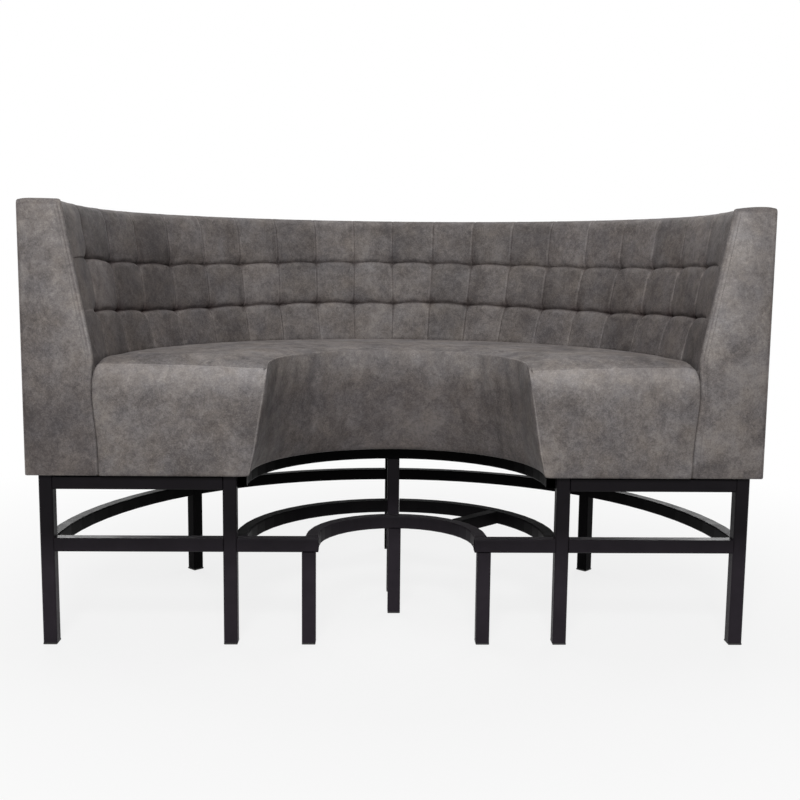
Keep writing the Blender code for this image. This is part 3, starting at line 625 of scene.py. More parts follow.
def back_pad():
    """Biscuit tufting: cells with rounded edges between upright seams and level creases."""
    lead = CENTRE_Y - PAD_LOW.y
    pace = back_face(BACK_HEIGHT - TUFT_ROW)
    length = 2 * lead + math.pi * pace
    cell = length / TUFT_COLUMNS
    runs, drops = pad_lines(cell, length)
    run, drop = np.meshgrid(runs, drops, indexing="ij")
    column, row = run / cell, drop / TUFT_ROW
    inner_line = np.clip(np.round(column), 1, TUFT_COLUMNS - 1)
    seam_gap = np.abs(column - inner_line) * cell
    line = np.clip(np.round(row), 1, TUFT_ROWS - 1)
    fall = (row - line) * TUFT_ROW
    crease_gap = np.abs(fall)
    cell_row = np.minimum(row.astype(int), TUFT_ROWS - 1)
    cell_column = np.minimum(column.astype(int), TUFT_COLUMNS - 1)
    across_cell = column - np.floor(np.minimum(column, TUFT_COLUMNS - ON_LINE))
    down_cell = np.minimum(row - np.floor(np.minimum(row, TUFT_ROWS - ON_LINE)), 1.0)
    fill = RANDOM.uniform(*CELL_FILLS, (TUFT_ROWS, TUFT_COLUMNS))[cell_row, cell_column]
    fade = eased(run, *RIGHT_PLAIN) * eased(length - run, *LEFT_PLAIN)
    swelling = 1 - fade * (1 - np.sin(math.pi * down_cell) ** 0.7)
    crown = PILLOW * fill * np.sin(math.pi * across_cell) * swelling
    seam = rolled(seam_gap, SEAM_ROUND, SEAM_DEPTH)
    folded = CREASE_DEPTH * np.clip(1 - crease_gap / CREASE_ABOVE, 0.0, 1.0) ** 1.6
    crease = np.where(fall < 0, folded, rolled(crease_gap, CREASE_BELOW, CREASE_DEPTH))
    tuft = TUFT_DEPTH * np.exp(-(seam_gap ** 2 + crease_gap ** 2) / TUFT_REACH ** 2)
    depth = np.hypot(seam, crease * fade) + tuft * fade - crown
    shift = drift_field(column, row)
    arch = np.sin(math.pi * across_cell) ** 0.6
    turn = np.clip((run - lead) / pace, 0.0, math.pi)
    facing = np.sin(turn)
    sides = SIDE_SAG + (1 - SIDE_SAG) * facing
    sag = TUFT_SAG * sides * (1 - arch) * bell(crease_gap, SAG_REACH)
    hang = np.interp(np.degrees(turn), ROW_TURNS, ROW_DIPS) / 1000
    sag = sag + hang * np.clip(row, 0.0, 1.0) * np.clip(TUFT_ROWS - row, 0.0, 1.0)
    rise = np.zeros((len(runs), 1))
    for (most, reach), gap in ((RIGHT_RISE, runs), (LEFT_RISE, length - runs)):
        rise += most * bell(gap, reach)[:, None]
    height = BACK_HEIGHT - drop - sag + shift[1] + rise * np.clip(1 - row, 0.0, 1.0)
    radius = back_face(np.maximum(BACK_HEIGHT - drop, SEAT_HEIGHT)) + depth
    x, y = back_point(radius, run + shift[0], pace, lead)
    front = np.stack((x, y, height), axis=-1)

    side_stray, middle_stray = TOP_STRAYS
    stray = side_stray + (middle_stray - side_stray) * facing[:, -1:]
    top_run = runs[:, None] + stray * shift[0][:, -1:]
    rest = pad_top(top_run, seam_gap[:, -1:], rise, pace, lead)
    points = np.concatenate((front, rest), axis=1)
    count, ring = points.shape[:2]
    lines = front.shape[1]
    top = slice(lines, lines + TOP_RINGS)
    obj = add_mesh("tufted_back", points, closed_sweep(count, ring), BACK_SUEDE)

    on_seam, on_crease = seam_gap < ON_LINE, crease_gap < ON_LINE
    sewn = np.ones((count, ring), bool)
    sewn[1:-1, :lines + FREE_RINGS] = False
    sewn[:, :lines] |= on_seam | (on_crease & (fade > 0.5))
    sewn[:, lines:] |= on_seam[:, -1:]
    swell(obj, sewn.ravel(), *BACK_SWELL)
    # Painted shade: in the dimples above the tufts, on the sides, under the fold above the lower crease,
    # and in the seams and creases.
    shade = np.zeros((count, ring))
    most, reach_across, reach_up = TUFT_SHADE
    drawn = bell(seam_gap, reach_across) * bell(fall, reach_up)
    drawn *= np.where(fall <= 0, 1.0, bell(fall, TUFT_SHADE_BELOW))
    shade[:, :lines] = most * fade * drawn + SIDE_SHADE * (1 - facing) ** 0.7
    most, reach_up = FOLD_SHADE
    lower_fold = (line == TUFT_ROWS - 1) & (fall <= 0)
    shade[:, :lines] += most * fade * lower_fold * bell(fall, reach_up)
    most = np.interp(run, (0.0, length), CREASE_LINES)
    crease_line = most * fade * bell(crease_gap, CREASE_LINE_WIDTH)
    stitched = np.maximum(on_seam * SEAM_SHADES[0], crease_line)
    shade[:, :lines] = np.maximum(shade[:, :lines], stitched)
    shade[:, top] = on_seam[:, -1:] * SEAM_SHADES[1]
    # Painted highlights: on the seams' lapped edges and on the lit top edges of the cells below the
    # creases, less at the tufts.
    lap_distance, lap_width = LAP_PLACE
    highlight = np.where(column > inner_line, *LAP_HIGHLIGHTS)
    highlight = highlight * bell(seam_gap - lap_distance, lap_width)
    most, distance, half_width = CREASE_HIGHLIGHT
    below = most * fade * (fall > 0) * bell(crease_gap - distance, half_width)
    highlight = np.maximum(highlight, below) * (1 - TUFT_HIGHLIGHT_LOST * fade * tuft / TUFT_DEPTH)
    wear = np.zeros((count, ring))
    wear[:, :lines] = highlight
    wear[:, top] = highlight[:, -1:]
    tints = RANDOM.uniform(-1.0, 1.0, (TUFT_ROWS, TUFT_COLUMNS))
    tints *= np.interp(np.abs(np.linspace(-1.0, 1.0, TUFT_COLUMNS)), (0.0, 1.0), CELL_TINTS)
    tints[:, (0, -1)] = tints[-1, (0, -1)]
    tint = np.zeros((count, ring))
    tint[:, :lines] = tints[cell_row, cell_column]
    tint[:, top] = tint[:, lines - 1:lines]
    set_attributes(obj, shade=shade, wear=wear, tint=tint)
    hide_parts("back_pad")
    subdivide(obj)
    return obj


# Seat

HEM = 0.016  # cover turned under the bottom edge
HEM_ROLL = 0.005
BROW_ROUND = 0.066  # front faces, up to the seam along the top
BROW_DEGREES = (0, 9, 18, 26, 33, 39, 44, 47.5, 49, 50)
SEAM_HEIGHT = 0.788  # seam round the top of the seat
TOP_EASE = 0.075  # over this length behind the seam the top rises to its full height
EASE_PARTS = (0.02, 0.06, 0.13, 0.24, 0.4, 0.6, 0.8, 1.0)
NOSE_ROUND = 0.010  # along the concave front's top seam
CORNER_ROUND = 0.0025  # at the upright corner seams
HEEL_ROUND = 0.010  # beside the end panels
HEEL_CORNER_ROUND = 0.022  # at the outer upper corners
HEEL_TOP_ROUND = 0.014  # at the back of the seat
HEEL_REACH = 0.10  # over this length behind the seam the corner's round dies away
HEEL_SKIRT = 0.050
HEEL_FALLS = (0.004, 0.011)  # fall of the top towards the heel, at the end panels and at the back
FRONT_STEPS = 12
FRONT_BULGE = 0.003
TOP_STEPS = 72
SEAM_SINK = 0.0018
CORNER_DROP = 0.014  # the top hangs at its corners beside the concave front
DROP_WIDTH = 0.45
DROP_DEPTH = 0.12
DROP_FOOT = 0.70
BROW_HIGHLIGHTS = (1.75, 1.65)  # painted highlight on the brow, right and left
BROW_LIGHT = (0.692, 0.764)  # between these heights the brow's painted highlight grows
TOP_HIGHLIGHTS = (0.9, 0.45)  # painted highlight on the top behind its front seams, right and left
TOP_HIGHLIGHT_REACH = 0.5  # reach of that highlight, as a share of the rise behind the seam
NOSE_SHADE = 0.50  # painted shade on the concave front, which rakes down away from the light
NOSE_FADE = 0.110
NOSE_EDGE_HIGHLIGHT = 1.2  # painted highlight on its lit top edge
NOSE_SIDE_SHADE = 0.7  # painted shade and highlight at its sides, as shares of those in the middle
NOSE_SIDE_HIGHLIGHT = 0.35
NOSE_SEAM_SHADES = (0.2, 0.7)  # painted shade on the seam round the front's hem and corners, and painted shadow under the top's lip along its top
SEAM_EDGE_HIGHLIGHTS = (1.0, 0.8)  # painted highlight on the seam's folded edge, on the two lines of vertices beside it
CORNER_HIGHLIGHTS = (1.6, 1.6, 1.3)  # painted highlight on the upright corner seams and the two lines beside them
FRONT_SEAM_HIGHLIGHT = 2.2  # painted highlight on the seams between the fronts and the top
HEEL_SHADES = (0.0, 0.15, 0.55, 1.1, 1.4)  # painted shade in the gap towards the back of the seat
SINK_REACH = 0.03  # the seams sink in over this distance from the upper corners
EDGE_SHARES = (0.5, 0.36, 0.2, 0.08)  # lines round the front edge, from its middle on
HEEL_SHARES = (0.25, 0.5, 0.75, 1.0)  # and round the heel
HEEL_LINES = len(HEEL_SHARES) + 1  # with the skirt
HEM_LINES = 3  # stations at each hem
ACROSS_STEPS = 21  # lines of vertices across the top
SEAT_SWELL = (2.5, 0.004, 0.008)  # pressure, slack of the cloth and most movement
SEAT_FOAM = 0.008
NOSE_STITCHES = 4  # line of the top cover that carries a row of stitches


def seat_stations():
    """Stations round the seat from the right hem over the top to the left hem: inset behind the front,
    height, share of the way round, and tilt from the upright front to the level top; with the number of
    the station on the seam between front and top."""
    end = math.radians(BROW_DEGREES[-1])
    low, high = BASE_BOTTOM + HEM_ROLL, SEAM_HEIGHT - BROW_ROUND * math.sin(end)
    side = [(HEM, BASE_BOTTOM, 0.0), (HEM_ROLL, BASE_BOTTOM, 0.0)]
    side += [(0.0, low + (high - low) * k / FRONT_STEPS, 0.0) for k in range(FRONT_STEPS)]
    for degrees in BROW_DEGREES:
        tilt = math.radians(degrees)
        side.append((BROW_ROUND * (1 - math.cos(tilt)), high + BROW_ROUND * math.sin(tilt), tilt))
    corner = len(side) - 1
    seam_inset = side[corner][0]
    rise = SEAT_HEIGHT - SEAM_HEIGHT
    for part in EASE_PARTS:
        slope = math.atan(2 * rise / TOP_EASE * (1 - part))
        height = SEAT_HEIGHT - rise * (1 - part) ** 2
        side.append((seam_inset + part * TOP_EASE, height, math.pi / 2 - slope))
    right = [(inset, z, 0.0, tilt) for inset, z, tilt in side]
    top_inset = side[-1][0]
    top = [(top_inset, SEAT_HEIGHT, k / TOP_STEPS, math.pi / 2) for k in range(1, TOP_STEPS)]
    left = [(inset, z, 1.0, tilt) for inset, z, tilt in reversed(side)]
    return np.array(right + top + left), corner


def bent(start, corner, end, share):
    """Point on a soft edge between two faces that meet at a corner."""
    return (1 - share) ** 2 * start + 2 * share * (1 - share) * corner + share ** 2 * end


def seat_top(stations, corner):
    """Cover of the top and the two fronts, from the seam round the concave front to behind the heel."""
    inset, z, share, tilt = stations.T
    radius = nose_face(z)
    start = -np.arcsin((NOSE_SETBACK - inset) / radius)
    angle = start + share * (math.pi - 2 * start)
    nose = np.stack((radius * np.cos(angle), NOSE_Y + radius * np.sin(angle), z), axis=-1)
    reach = panel_edge(z) - CLEAR
    lead = BACK_LEAD - inset
    heel_length = 2 * lead + math.pi * reach
    heel_x, heel_y = back_point(reach, share * heel_length, reach, lead)
    side_fall, back_fall = HEEL_FALLS
    fall = side_fall + (back_fall - side_fall) * np.sin(math.pi * share)
    heel = np.stack((heel_x, heel_y, z - fall * np.sin(tilt) ** 2), axis=-1)
    inward = np.stack((np.zeros_like(tilt), np.cos(tilt), -np.sin(tilt)), axis=-1)
    width = np.linalg.norm(heel - nose, axis=1, keepdims=True)
    across = (heel - nose) / width
    level = np.sin(tilt)[:, None]
    behind_seam = np.clip((inset - inset[corner]) / TOP_EASE, 0.0, 1.0)[:, None]
    edge = CORNER_ROUND + (NOSE_ROUND - CORNER_ROUND) * behind_seam ** 0.7
    under = (inset > 0) & (z <= BASE_BOTTOM)
    edge[under, 0] = 4 * inset[under]
    up = part_way(z, BASE_BOTTOM, SEAT_HEIGHT)[:, None]
    crown = SEAT_CROWN * level ** 2 + FRONT_BULGE * np.sin(math.pi * up) * (1 - level)

    columns = []
    for share_of_edge in EDGE_SHARES:
        columns.append(bent(nose + across * edge, nose, nose + inward * edge, share_of_edge))
    brow = part_way(z, DROP_FOOT, SEAM_HEIGHT)[:, None] ** 1.5
    heel_edge = HEEL_ROUND + (HEEL_CORNER_ROUND - HEEL_ROUND) * brow
    gone = np.maximum(inset - inset[corner], 0.0) + np.minimum(share, 1 - share) * heel_length
    heel_edge += (HEEL_TOP_ROUND - HEEL_CORNER_ROUND) * (1 - bell(gone, HEEL_REACH))[:, None]
    first = edge / width
    last = 1 - heel_edge / width
    for part in np.linspace(0.0, 1.0, ACROSS_STEPS):
        place = first + (last - first) * part
        columns.append(nose + across * width * place - inward * crown * math.sin(math.pi * part))
    rim = heel - across * heel_edge
    for share_of_edge in HEEL_SHARES:
        columns.append(bent(rim, heel, heel + inward * heel_edge, share_of_edge))
    columns.append(heel + inward * HEEL_SKIRT)
    cover = np.stack(columns, axis=1)
    beside = np.clip(1 - (np.abs(cover[..., 0]) - NOSE_TOP_RADIUS) / DROP_WIDTH, 0.0, 1.0)
    behind = np.exp(-np.maximum(cover[..., 1] - FRONT_Y - inset[corner], 0.0) / DROP_DEPTH)
    above = part_way(cover[..., 2], DROP_FOOT, SEAM_HEIGHT)
    cover[..., 2] -= CORNER_DROP * beside * behind * above
    return cover


def along(points):
    """Share of the way along a line of points, from 0 to 1."""
    steps = np.linalg.norm(np.diff(points, axis=0), axis=1)
    travel = np.concatenate(([0.0], np.cumsum(steps)))
    return travel / travel[-1]


def edge_recess(distance, edge):
    """How far a soft edge falls back from its face, at a distance from the seam on its middle."""
    return edge * (1 - np.sqrt(np.minimum(1.0, 0.25 + distance / edge))) ** 2


def nose_cover(seam, corner):
    """Concave front, sewn to the top cover along its seam line; returns a grid whose right, top and
    left borders are that line."""
    right = seam[:corner + 1]
    left = seam[::-1][:corner + 1]
    top = seam[corner:len(seam) - corner]
    up, over = along(right)[:, None], along(top)[None, :]

    def turn(line):
        return math.pi / 2 + np.arctan2(-line[:, 0], line[:, 1] - NOSE_Y)

    def surface(side_right, side_left, foot, head):
        sides = (1 - over) * side_right[:, None] + over * side_left[:, None]
        ends = (1 - up) * foot[None, :] + up * head[None, :]
        foot_line = (1 - over) * foot[0] + over * foot[-1]
        head_line = (1 - over) * head[0] + over * head[-1]
        return sides + ends - (1 - up) * foot_line - up * head_line

    foot_angle = turn(right)[0] + over[0] * (turn(left)[0] - turn(right)[0])
    angle = surface(turn(right), turn(left), foot_angle, turn(top))
    height = surface(right[:, 2], left[:, 2], np.full(len(top), BASE_BOTTOM), top[:, 2])
    below = np.maximum(top[None, :, 2] - height, 0.0)
    girth = (angle[0, -1] - angle[0, 0]) * NOSE_TOP_RADIUS
    beside = np.minimum(over, 1 - over) * girth + 0 * height
    recess = edge_recess(below, NOSE_ROUND) + edge_recess(beside, CORNER_ROUND)
    recess[0] += HEM
    recess[1] += HEM_ROLL
    radius = nose_face(height) + recess - NOSE_BULGE * np.sin(math.pi * up)
    return np.stack((radius * np.cos(angle), NOSE_Y + radius * np.sin(angle), height), axis=-1)


def seat():
    """Seat cover: the top with its two fronts, and the concave front between them."""
    stations, corner = seat_stations()
    cover = seat_top(stations, corner)
    count, width = cover.shape[:2]
    faces = grid_faces(count, width)
    nose = nose_cover(cover[:, 0], corner)
    rows, columns = nose.shape[:2]
    index = count * width + np.arange(rows * columns).reshape(rows, columns)
    seam = np.arange(count) * width
    index[:, 0] = seam[:rows]
    index[:, -1] = seam[::-1][:rows]
    index[-1] = seam[corner:count - corner]
    for i in range(rows - 1):
        for j in range(columns - 1):
            faces.append((index[i, j], index[i + 1, j], index[i + 1, j + 1], index[i, j + 1]))
    points = np.concatenate((cover.reshape(-1, 3), nose.reshape(-1, 3)))
    used = np.unique(np.concatenate([np.asarray(face) for face in faces]))
    renumber = np.zeros(len(points), int)
    renumber[used] = np.arange(len(used))
    faces = [tuple(int(renumber[v]) for v in face) for face in faces]
    obj = add_mesh("seat", points[used], faces, SEAT_SUEDE)

    sewn = np.zeros(len(points), bool)
    held = sewn[:count * width].reshape(count, width)
    held[:, 1 - HEEL_LINES:] = True
    held[:HEM_LINES] = True
    held[-HEM_LINES:] = True
    held[:, 0] = True
    held[(corner, -1 - corner), :] = True
    sewn[index[:HEM_LINES].ravel()] = True
    swell(obj, sewn[used], *SEAT_SWELL)

    numbers = np.arange(count * width).reshape(count, width)
    fronts = np.concatenate([numbers[row, 1:-HEEL_LINES] for row in (corner, -1 - corner)])
    line = renumber[np.concatenate((seam[HEM_LINES:-HEM_LINES], fronts))]
    normals = np.array([obj.data.vertices[i].normal for i in line])
    values = coordinates(obj.data)
    corners = cover[(corner, count - 1 - corner), 0]
    gaps = np.min(np.linalg.norm(values[line][:, None] - corners[None, :], axis=2), axis=1)
    values[line] -= normals * (SEAM_SINK * np.clip(gaps / SINK_REACH, 0.0, 1.0))[:, None]
    set_coordinates(obj.data, values)
    top_faces = (count - 1 - 2 * corner) * (width - 1)
    first_top = corner * (width - 1)
    obj.data.materials.append(TOP_SUEDE)
    for number in range(first_top, first_top + top_faces):
        obj.data.polygons[number].material_index = 1
    # Painted light: on the seams' folded edges, the brow, the top behind its front seams and the concave
    # front's top edge.
    wear = np.zeros(len(points))
    beside_seam = wear[:count * width].reshape(count, width)
    past = 1 + len(SEAM_EDGE_HIGHLIGHTS)
    beside_seam[HEM_LINES:-HEM_LINES, 1:past] = SEAM_EDGE_HIGHLIGHTS
    brow = part_way(stations[:, 1], *BROW_LIGHT) ** 1.3
    brows = (slice(HEM_LINES, corner), slice(count - corner, count - HEM_LINES))
    for most, rows_here in zip(BROW_HIGHLIGHTS, brows):
        beside_seam[rows_here, past:] = most * brow[rows_here, None]
    for number, part in enumerate(EASE_PARTS):
        remaining = max(0.0, 1 - part / TOP_HIGHLIGHT_REACH)
        for most, row in zip(TOP_HIGHLIGHTS, (corner + 1 + number, count - 2 - corner - number)):
            beside_seam[row, past:-HEEL_LINES] = most * remaining
    # Painted shade: on the concave front, in its seams and in the gap at the heel.
    shade = np.zeros(len(points))
    head = cover[corner:count - corner, 0, 2]
    below = np.clip((head[None, :] - nose[..., 2]) / NOSE_FADE, 0.0, 1.0)
    back_by = nose[..., 1] - NOSE_Y
    facing = np.clip(back_by / np.hypot(nose[..., 0], back_by), 0.0, 1.0) ** 2
    side_shade = NOSE_SIDE_SHADE + (1 - NOSE_SIDE_SHADE) * facing
    side_wear = NOSE_SIDE_HIGHLIGHT + (1 - NOSE_SIDE_HIGHLIGHT) * facing
    shade[count * width:] = (NOSE_SHADE * below * side_shade).ravel()
    wear[count * width:] = (NOSE_EDGE_HIGHLIGHT * (1 - below) * side_wear).ravel()
    shade[seam] = NOSE_SEAM_SHADES[0]
    shade[seam[corner + 1:-1 - corner]] = NOSE_SEAM_SHADES[1]
    for upright in (seam[HEM_LINES:corner], seam[-corner:-HEM_LINES]):
        shade[upright] = 0.0
        for beside, value in enumerate(CORNER_HIGHLIGHTS):
            wear[upright + beside] = value
    wear[fronts] = FRONT_SEAM_HIGHLIGHT
    shade[:count * width].reshape(count, width)[:, -len(HEEL_SHADES):] = HEEL_SHADES
    set_attributes(obj, wear=wear[used], shade=shade[used])
    subdivide(obj)
    row = numbers[corner + 1:count - corner - 1, NOSE_STITCHES]
    stitches("nose_stitches", obj, coordinates(obj.data)[renumber[row]], SEAT_THREAD)
    thicken(obj, SEAT_FOAM, -1.0)
    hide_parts("seat_cushion")
    return obj


# End panels

PANEL_ROUND = 0.009
PANEL_INNER_ROUND = 0.008
PANEL_OUTER_ROUND = 0.004
PANEL_TOP_ROUND = 0.013
PANEL_CROWN = 0.005
PANEL_LIFT = 0.003
PANEL_DOMES = {"right": 0.006, "left": 0.001}  # fall of the top from its peak to its inner corner
PANEL_OUTER_FALL = 0.004
PANEL_PEAK = 0.70  # highest place, as a share of the way from the inner to the outer edge
STITCH_ROW = 0.009  # second row of stitches, beside the inner edge's seam
PANEL_COLUMNS = (0.0, 0.004, STITCH_ROW - 0.0015, STITCH_ROW, STITCH_ROW + 0.0015, 0.016)
PANEL_SHARES = (0.0, 0.06, 0.14, 0.25, 0.38, 0.52, 0.66, 0.78, 0.87, 0.93, 0.97, 1.0)
PANEL_UPS = (0.0, 0.004, 0.012, *np.linspace(0.03, 0.95, 34), 0.97, 0.985, 0.994, 1.0)
PANEL_SWELL = (2.0, 0.004, 0.004)  # pressure, slack of the cloth and most movement
INNER_FILL = 0.8 * CLEAR  # the inner edge fills this much of the gap beside it
STITCH_SINK = 0.0009
# painted shade in the groove of the stitched line
STITCH_SHADE = 0.35
STRIP_HIGHLIGHT = 0.25  # painted highlight on the strip beside its seam
SEAT_BLEND = 0.05  # the looks above the seat begin over this height below and above its top
INNER_REACH = 0.45  # of the painted highlight along the inner edge, as a share of the width
PANEL_LIGHTS = {"right": 0.82, "left": 0.62}  # painted highlight along the inner edge above the seat
PANEL_FOOTS = {"right": 0.12, "left": 0.50}  # painted shade, darker towards the bottom
PANEL_HEADS = {"right": 0.95, "left": 0.30}  # painted light, lighter towards the top
HEAD_LIGHT = (0.82, 1.02)  # between these heights a panel's painted light grows
# Rings of the strip: turn from the front, distance before the panel's back, and how far drawn in there
PANEL_RINGS = ((22.5, 0, 0), (45.0, 0, 0), (67.5, 0, 0), (90.0, 0, 0),
               (90.0, 0.004, 0.0), (90.0, 0.0012, 0.0012), (90.0, 0.0003, 0.004))
LIP_HIGHLIGHTS = (0.9, 0.6)  # painted highlight on the inner edge's lip, beside its seam
INNER_SEAM = (0.0018, 0.75)  # depth and painted shade in the groove of the inner, outer and top edge's seams
OUTER_SEAM = (0.0014, 0.55)
TOP_SEAM = (0.0010, 0.45)


def end_panel(side, sign):
    """Padded panel with a boxing strip round it, sewn on along the front's border."""
    fixed = np.concatenate((PANEL_COLUMNS, np.full(len(PANEL_SHARES) - 1, PANEL_COLUMNS[-1])))
    shares = np.concatenate((np.zeros(len(PANEL_COLUMNS) - 1), PANEL_SHARES))
    up, share = np.meshgrid(PANEL_UPS, shares, indexing="ij")
    top_width = BACK_TOP_THICKNESS - PANEL_INNER_ROUND - PANEL_OUTER_ROUND
    top_over = (fixed + shares * (top_width - fixed)) / top_width
    inward = part_way(top_over, PANEL_PEAK, 0.0)
    outward = part_way(top_over, PANEL_PEAK, 1.0)
    dome = PANEL_DOMES[side] * inward ** 2 + PANEL_OUTER_FALL * outward ** 2.5
    head = PANEL_TOP + PANEL_LIFT - PANEL_TOP_ROUND - dome
    z = BASE_BOTTOM + HEM_ROLL + up * (head - BASE_BOTTOM - HEM_ROLL)
    inner = panel_edge(z) + PANEL_INNER_ROUND
    width = OUTER_RADIUS - PANEL_OUTER_ROUND - inner
    x = inner + fixed + share * (width - fixed)
    over = (x - inner) / width
    swelling = np.sin(math.pi * over) ** 0.6 * np.sin(math.pi * np.clip(up, 0, 1)) ** 0.3
    y = FRONT_Y + PANEL_CROWN * (1 - swelling)
    front = np.stack((x, y, z), axis=-1)
    rows, columns = z.shape
    faces = grid_faces(rows, columns)
    grid = np.arange(rows * columns).reshape(rows, columns)
    border = np.concatenate((grid[0, :-1], grid[:-1, -1], grid[-1, :0:-1], grid[:0:-1, 0]))
    flat = front.reshape(-1, 3)
    sideways = np.zeros(rows * columns)
    upward = np.zeros(rows * columns)
    depth = np.full(rows * columns, PANEL_ROUND)
    sideways[grid[:, 0]] = -PANEL_INNER_ROUND - INNER_FILL
    sideways[grid[:, -1]] = PANEL_OUTER_ROUND
    depth[grid[:, -1]] = PANEL_OUTER_ROUND
    upward[grid[0]] = -HEM_ROLL
    upward[grid[-1]] = PANEL_TOP_ROUND
    points = [flat]
    ring = border
    for degrees, before_back, drawn_in in PANEL_RINGS:
        turn = math.radians(degrees)
        place = flat[border].copy()
        place[:, 0] += sideways[border] * math.sin(turn)
        place[:, 2] += upward[border] * math.sin(turn)
        place[:, 1] += depth[border] * (1 - math.cos(turn))
        if before_back:
            place[:, 0] -= np.sign(sideways[border]) * drawn_in
            place[:, 1] = PANEL_BACK_Y - before_back
            place[:, 2] -= np.sign(upward[border]) * drawn_in
        following = sum(len(block) for block in points) + np.arange(len(border))
        for k in range(len(border)):
            n = (k + 1) % len(border)
            faces.append((int(ring[k]), int(following[k]), int(following[n]), int(ring[n])))
        points.append(place)
        ring = following
    faces.append(tuple(int(i) for i in ring[::-1]))
    points = np.concatenate(points)
    points[:, 0] *= sign
    if sign < 0:
        faces = [face[::-1] for face in faces]
    obj = add_mesh("end_panel_cover_" + side, points, faces, PANEL_SUEDE)

    sewn = np.ones(len(points), bool)
    sewn[:rows * columns] = False
    sewn[border] = True
    swell(obj, sewn, *PANEL_SWELL)
    stitched = grid[:, PANEL_COLUMNS.index(STITCH_ROW)]
    values = coordinates(obj.data)
    above = part_way(z, SEAT_HEIGHT - SEAT_BLEND, SEAT_HEIGHT + SEAT_BLEND)
    values[grid[:, 0], 1] += INNER_SEAM[0] * above[:, 0]
    values[grid[:, -1], 1] += OUTER_SEAM[0]
    values[grid[-1], 1] += TOP_SEAM[0]
    values[stitched, 1] += STITCH_SINK
    set_coordinates(obj.data, values)
    # Painted shade towards the bottom, in the seams' grooves and along the stitched line.
    shade = np.zeros(len(points))
    shade[:rows * columns] = (PANEL_FOOTS[side] * (1 - up) ** 2).ravel()
    shade[grid[-1]] = TOP_SEAM[1]
    shade[grid[:, 0]] = np.maximum(shade[grid[:, 0]], INNER_SEAM[1] * above[:, 0])
    shade[grid[:, -1]] = OUTER_SEAM[1]
    shade[stitched] = STITCH_SHADE
    # Painted light along the inner edge above the seat, towards the top, and on the strip and lip beside
    # the seam.
    wear = np.zeros(len(points))
    highlight = PANEL_LIGHTS[side] * above * bell(over, INNER_REACH)
    highlight += PANEL_HEADS[side] * eased(z, *HEAD_LIGHT)
    wear[:rows * columns] = highlight.ravel()
    wear[rows * columns:rows * columns + len(border)] = STRIP_HIGHLIGHT
    lip = rows * columns + np.arange(len(border) - rows + 1, len(border))
    for ring_number, value in enumerate(LIP_HIGHLIGHTS):
        wear[lip + ring_number * len(border)] = value * above[:0:-1, 0]
    set_attributes(obj, shade=shade, wear=wear)
    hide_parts("end_panel_" + side)
    subdivide(obj)
    row = coordinates(obj.data)[stitched[2:-2]]
    stitches("panel_stitches_" + side, obj, row, SEAT_THREAD)
    return obj


# Outer back

COVER_SEAMS = (45.0, 90.0, 135.0)  # degrees round the back
COVER_OFFSETS = (0.0, 0.0015, 0.005, 0.011, 0.02)  # lines of vertices beside a seam
COVER_PARTS = 20  # even parts of the way between two seams
COVER_SEAM = (0.006, 0.0035)  # reach and depth
# painted shade in the seams' grooves
COVER_SEAM_SHADE = 0.8
COVER_ROUND = 0.9 * BACK_COVER  # along the top
COVER_LEVELS = 17  # lines up the outside
COVER_MARGIN = 0.02  # of these lines from the bottom and the top
COVER_LINE = 0.001  # half width of the painted shade line on a seam
COVER_EDGE = 0.002  # the seams stay this far from the cover's inner edge


def outer_cover():
    """Cover of the back's outside: panels joined by upright seams, turned under at the bottom."""
    lead = CENTRE_Y - PANEL_BACK_Y
    length = 2 * lead + math.pi * OUTER_RADIUS
    seams = [lead + math.radians(degrees) * OUTER_RADIUS for degrees in COVER_SEAMS]
    borders = [0.0] + seams + [length]
    runs = []
    for start, end in zip(borders, borders[1:]):
        runs += [start + place for place in spaced(COVER_OFFSETS, end - start)]
        part = (end - start) / COVER_PARTS
        runs += [start + part * k for k in range(1, COVER_PARTS) if 2 * k != COVER_PARTS]
    runs = np.unique(np.round(runs + [length], 6))
    top = COVER_TOP
    inside = OUTER_RADIUS - BACK_COVER
    profile = [(inside, BASE_BOTTOM), (OUTER_RADIUS - HEM_ROLL, BASE_BOTTOM),
               (OUTER_RADIUS, BASE_BOTTOM + HEM_ROLL)]
    levels = np.linspace(BASE_BOTTOM + COVER_MARGIN, top - COVER_MARGIN, COVER_LEVELS)
    profile += [(OUTER_RADIUS, level) for level in levels]
    for degrees in (0.0, 30.0, 60.0, 90.0):
        turn = math.radians(degrees)
        profile.append((OUTER_RADIUS - COVER_ROUND * (1 - math.cos(turn)),
                        top - COVER_ROUND * (1 - math.sin(turn))))
    profile.append((inside, top))
    radius, height = np.array(profile).T
    seam_gap = np.min(np.abs(runs[:, None] - np.array(seams)[None, :]), axis=1)
    sink = rolled(seam_gap, *COVER_SEAM)[:, None] * (radius > inside + COVER_EDGE)
    x, y = back_point(radius - sink, runs[:, None], OUTER_RADIUS, lead)
    points = np.stack((x, y, np.broadcast_to(height, x.shape)), axis=-1)
    count, ring = points.shape[:2]
    obj = add_mesh("outer_back", points, closed_sweep(count, ring), COVER_SUEDE)
    # Painted shade along the seams' grooves.
    dark = (seam_gap < COVER_LINE)[:, None] * COVER_SEAM_SHADE
    set_attributes(obj, shade=np.broadcast_to(dark, (count, ring)))
    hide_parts("back_cover")
    subdivide(obj)
    return obj


# Dust cover

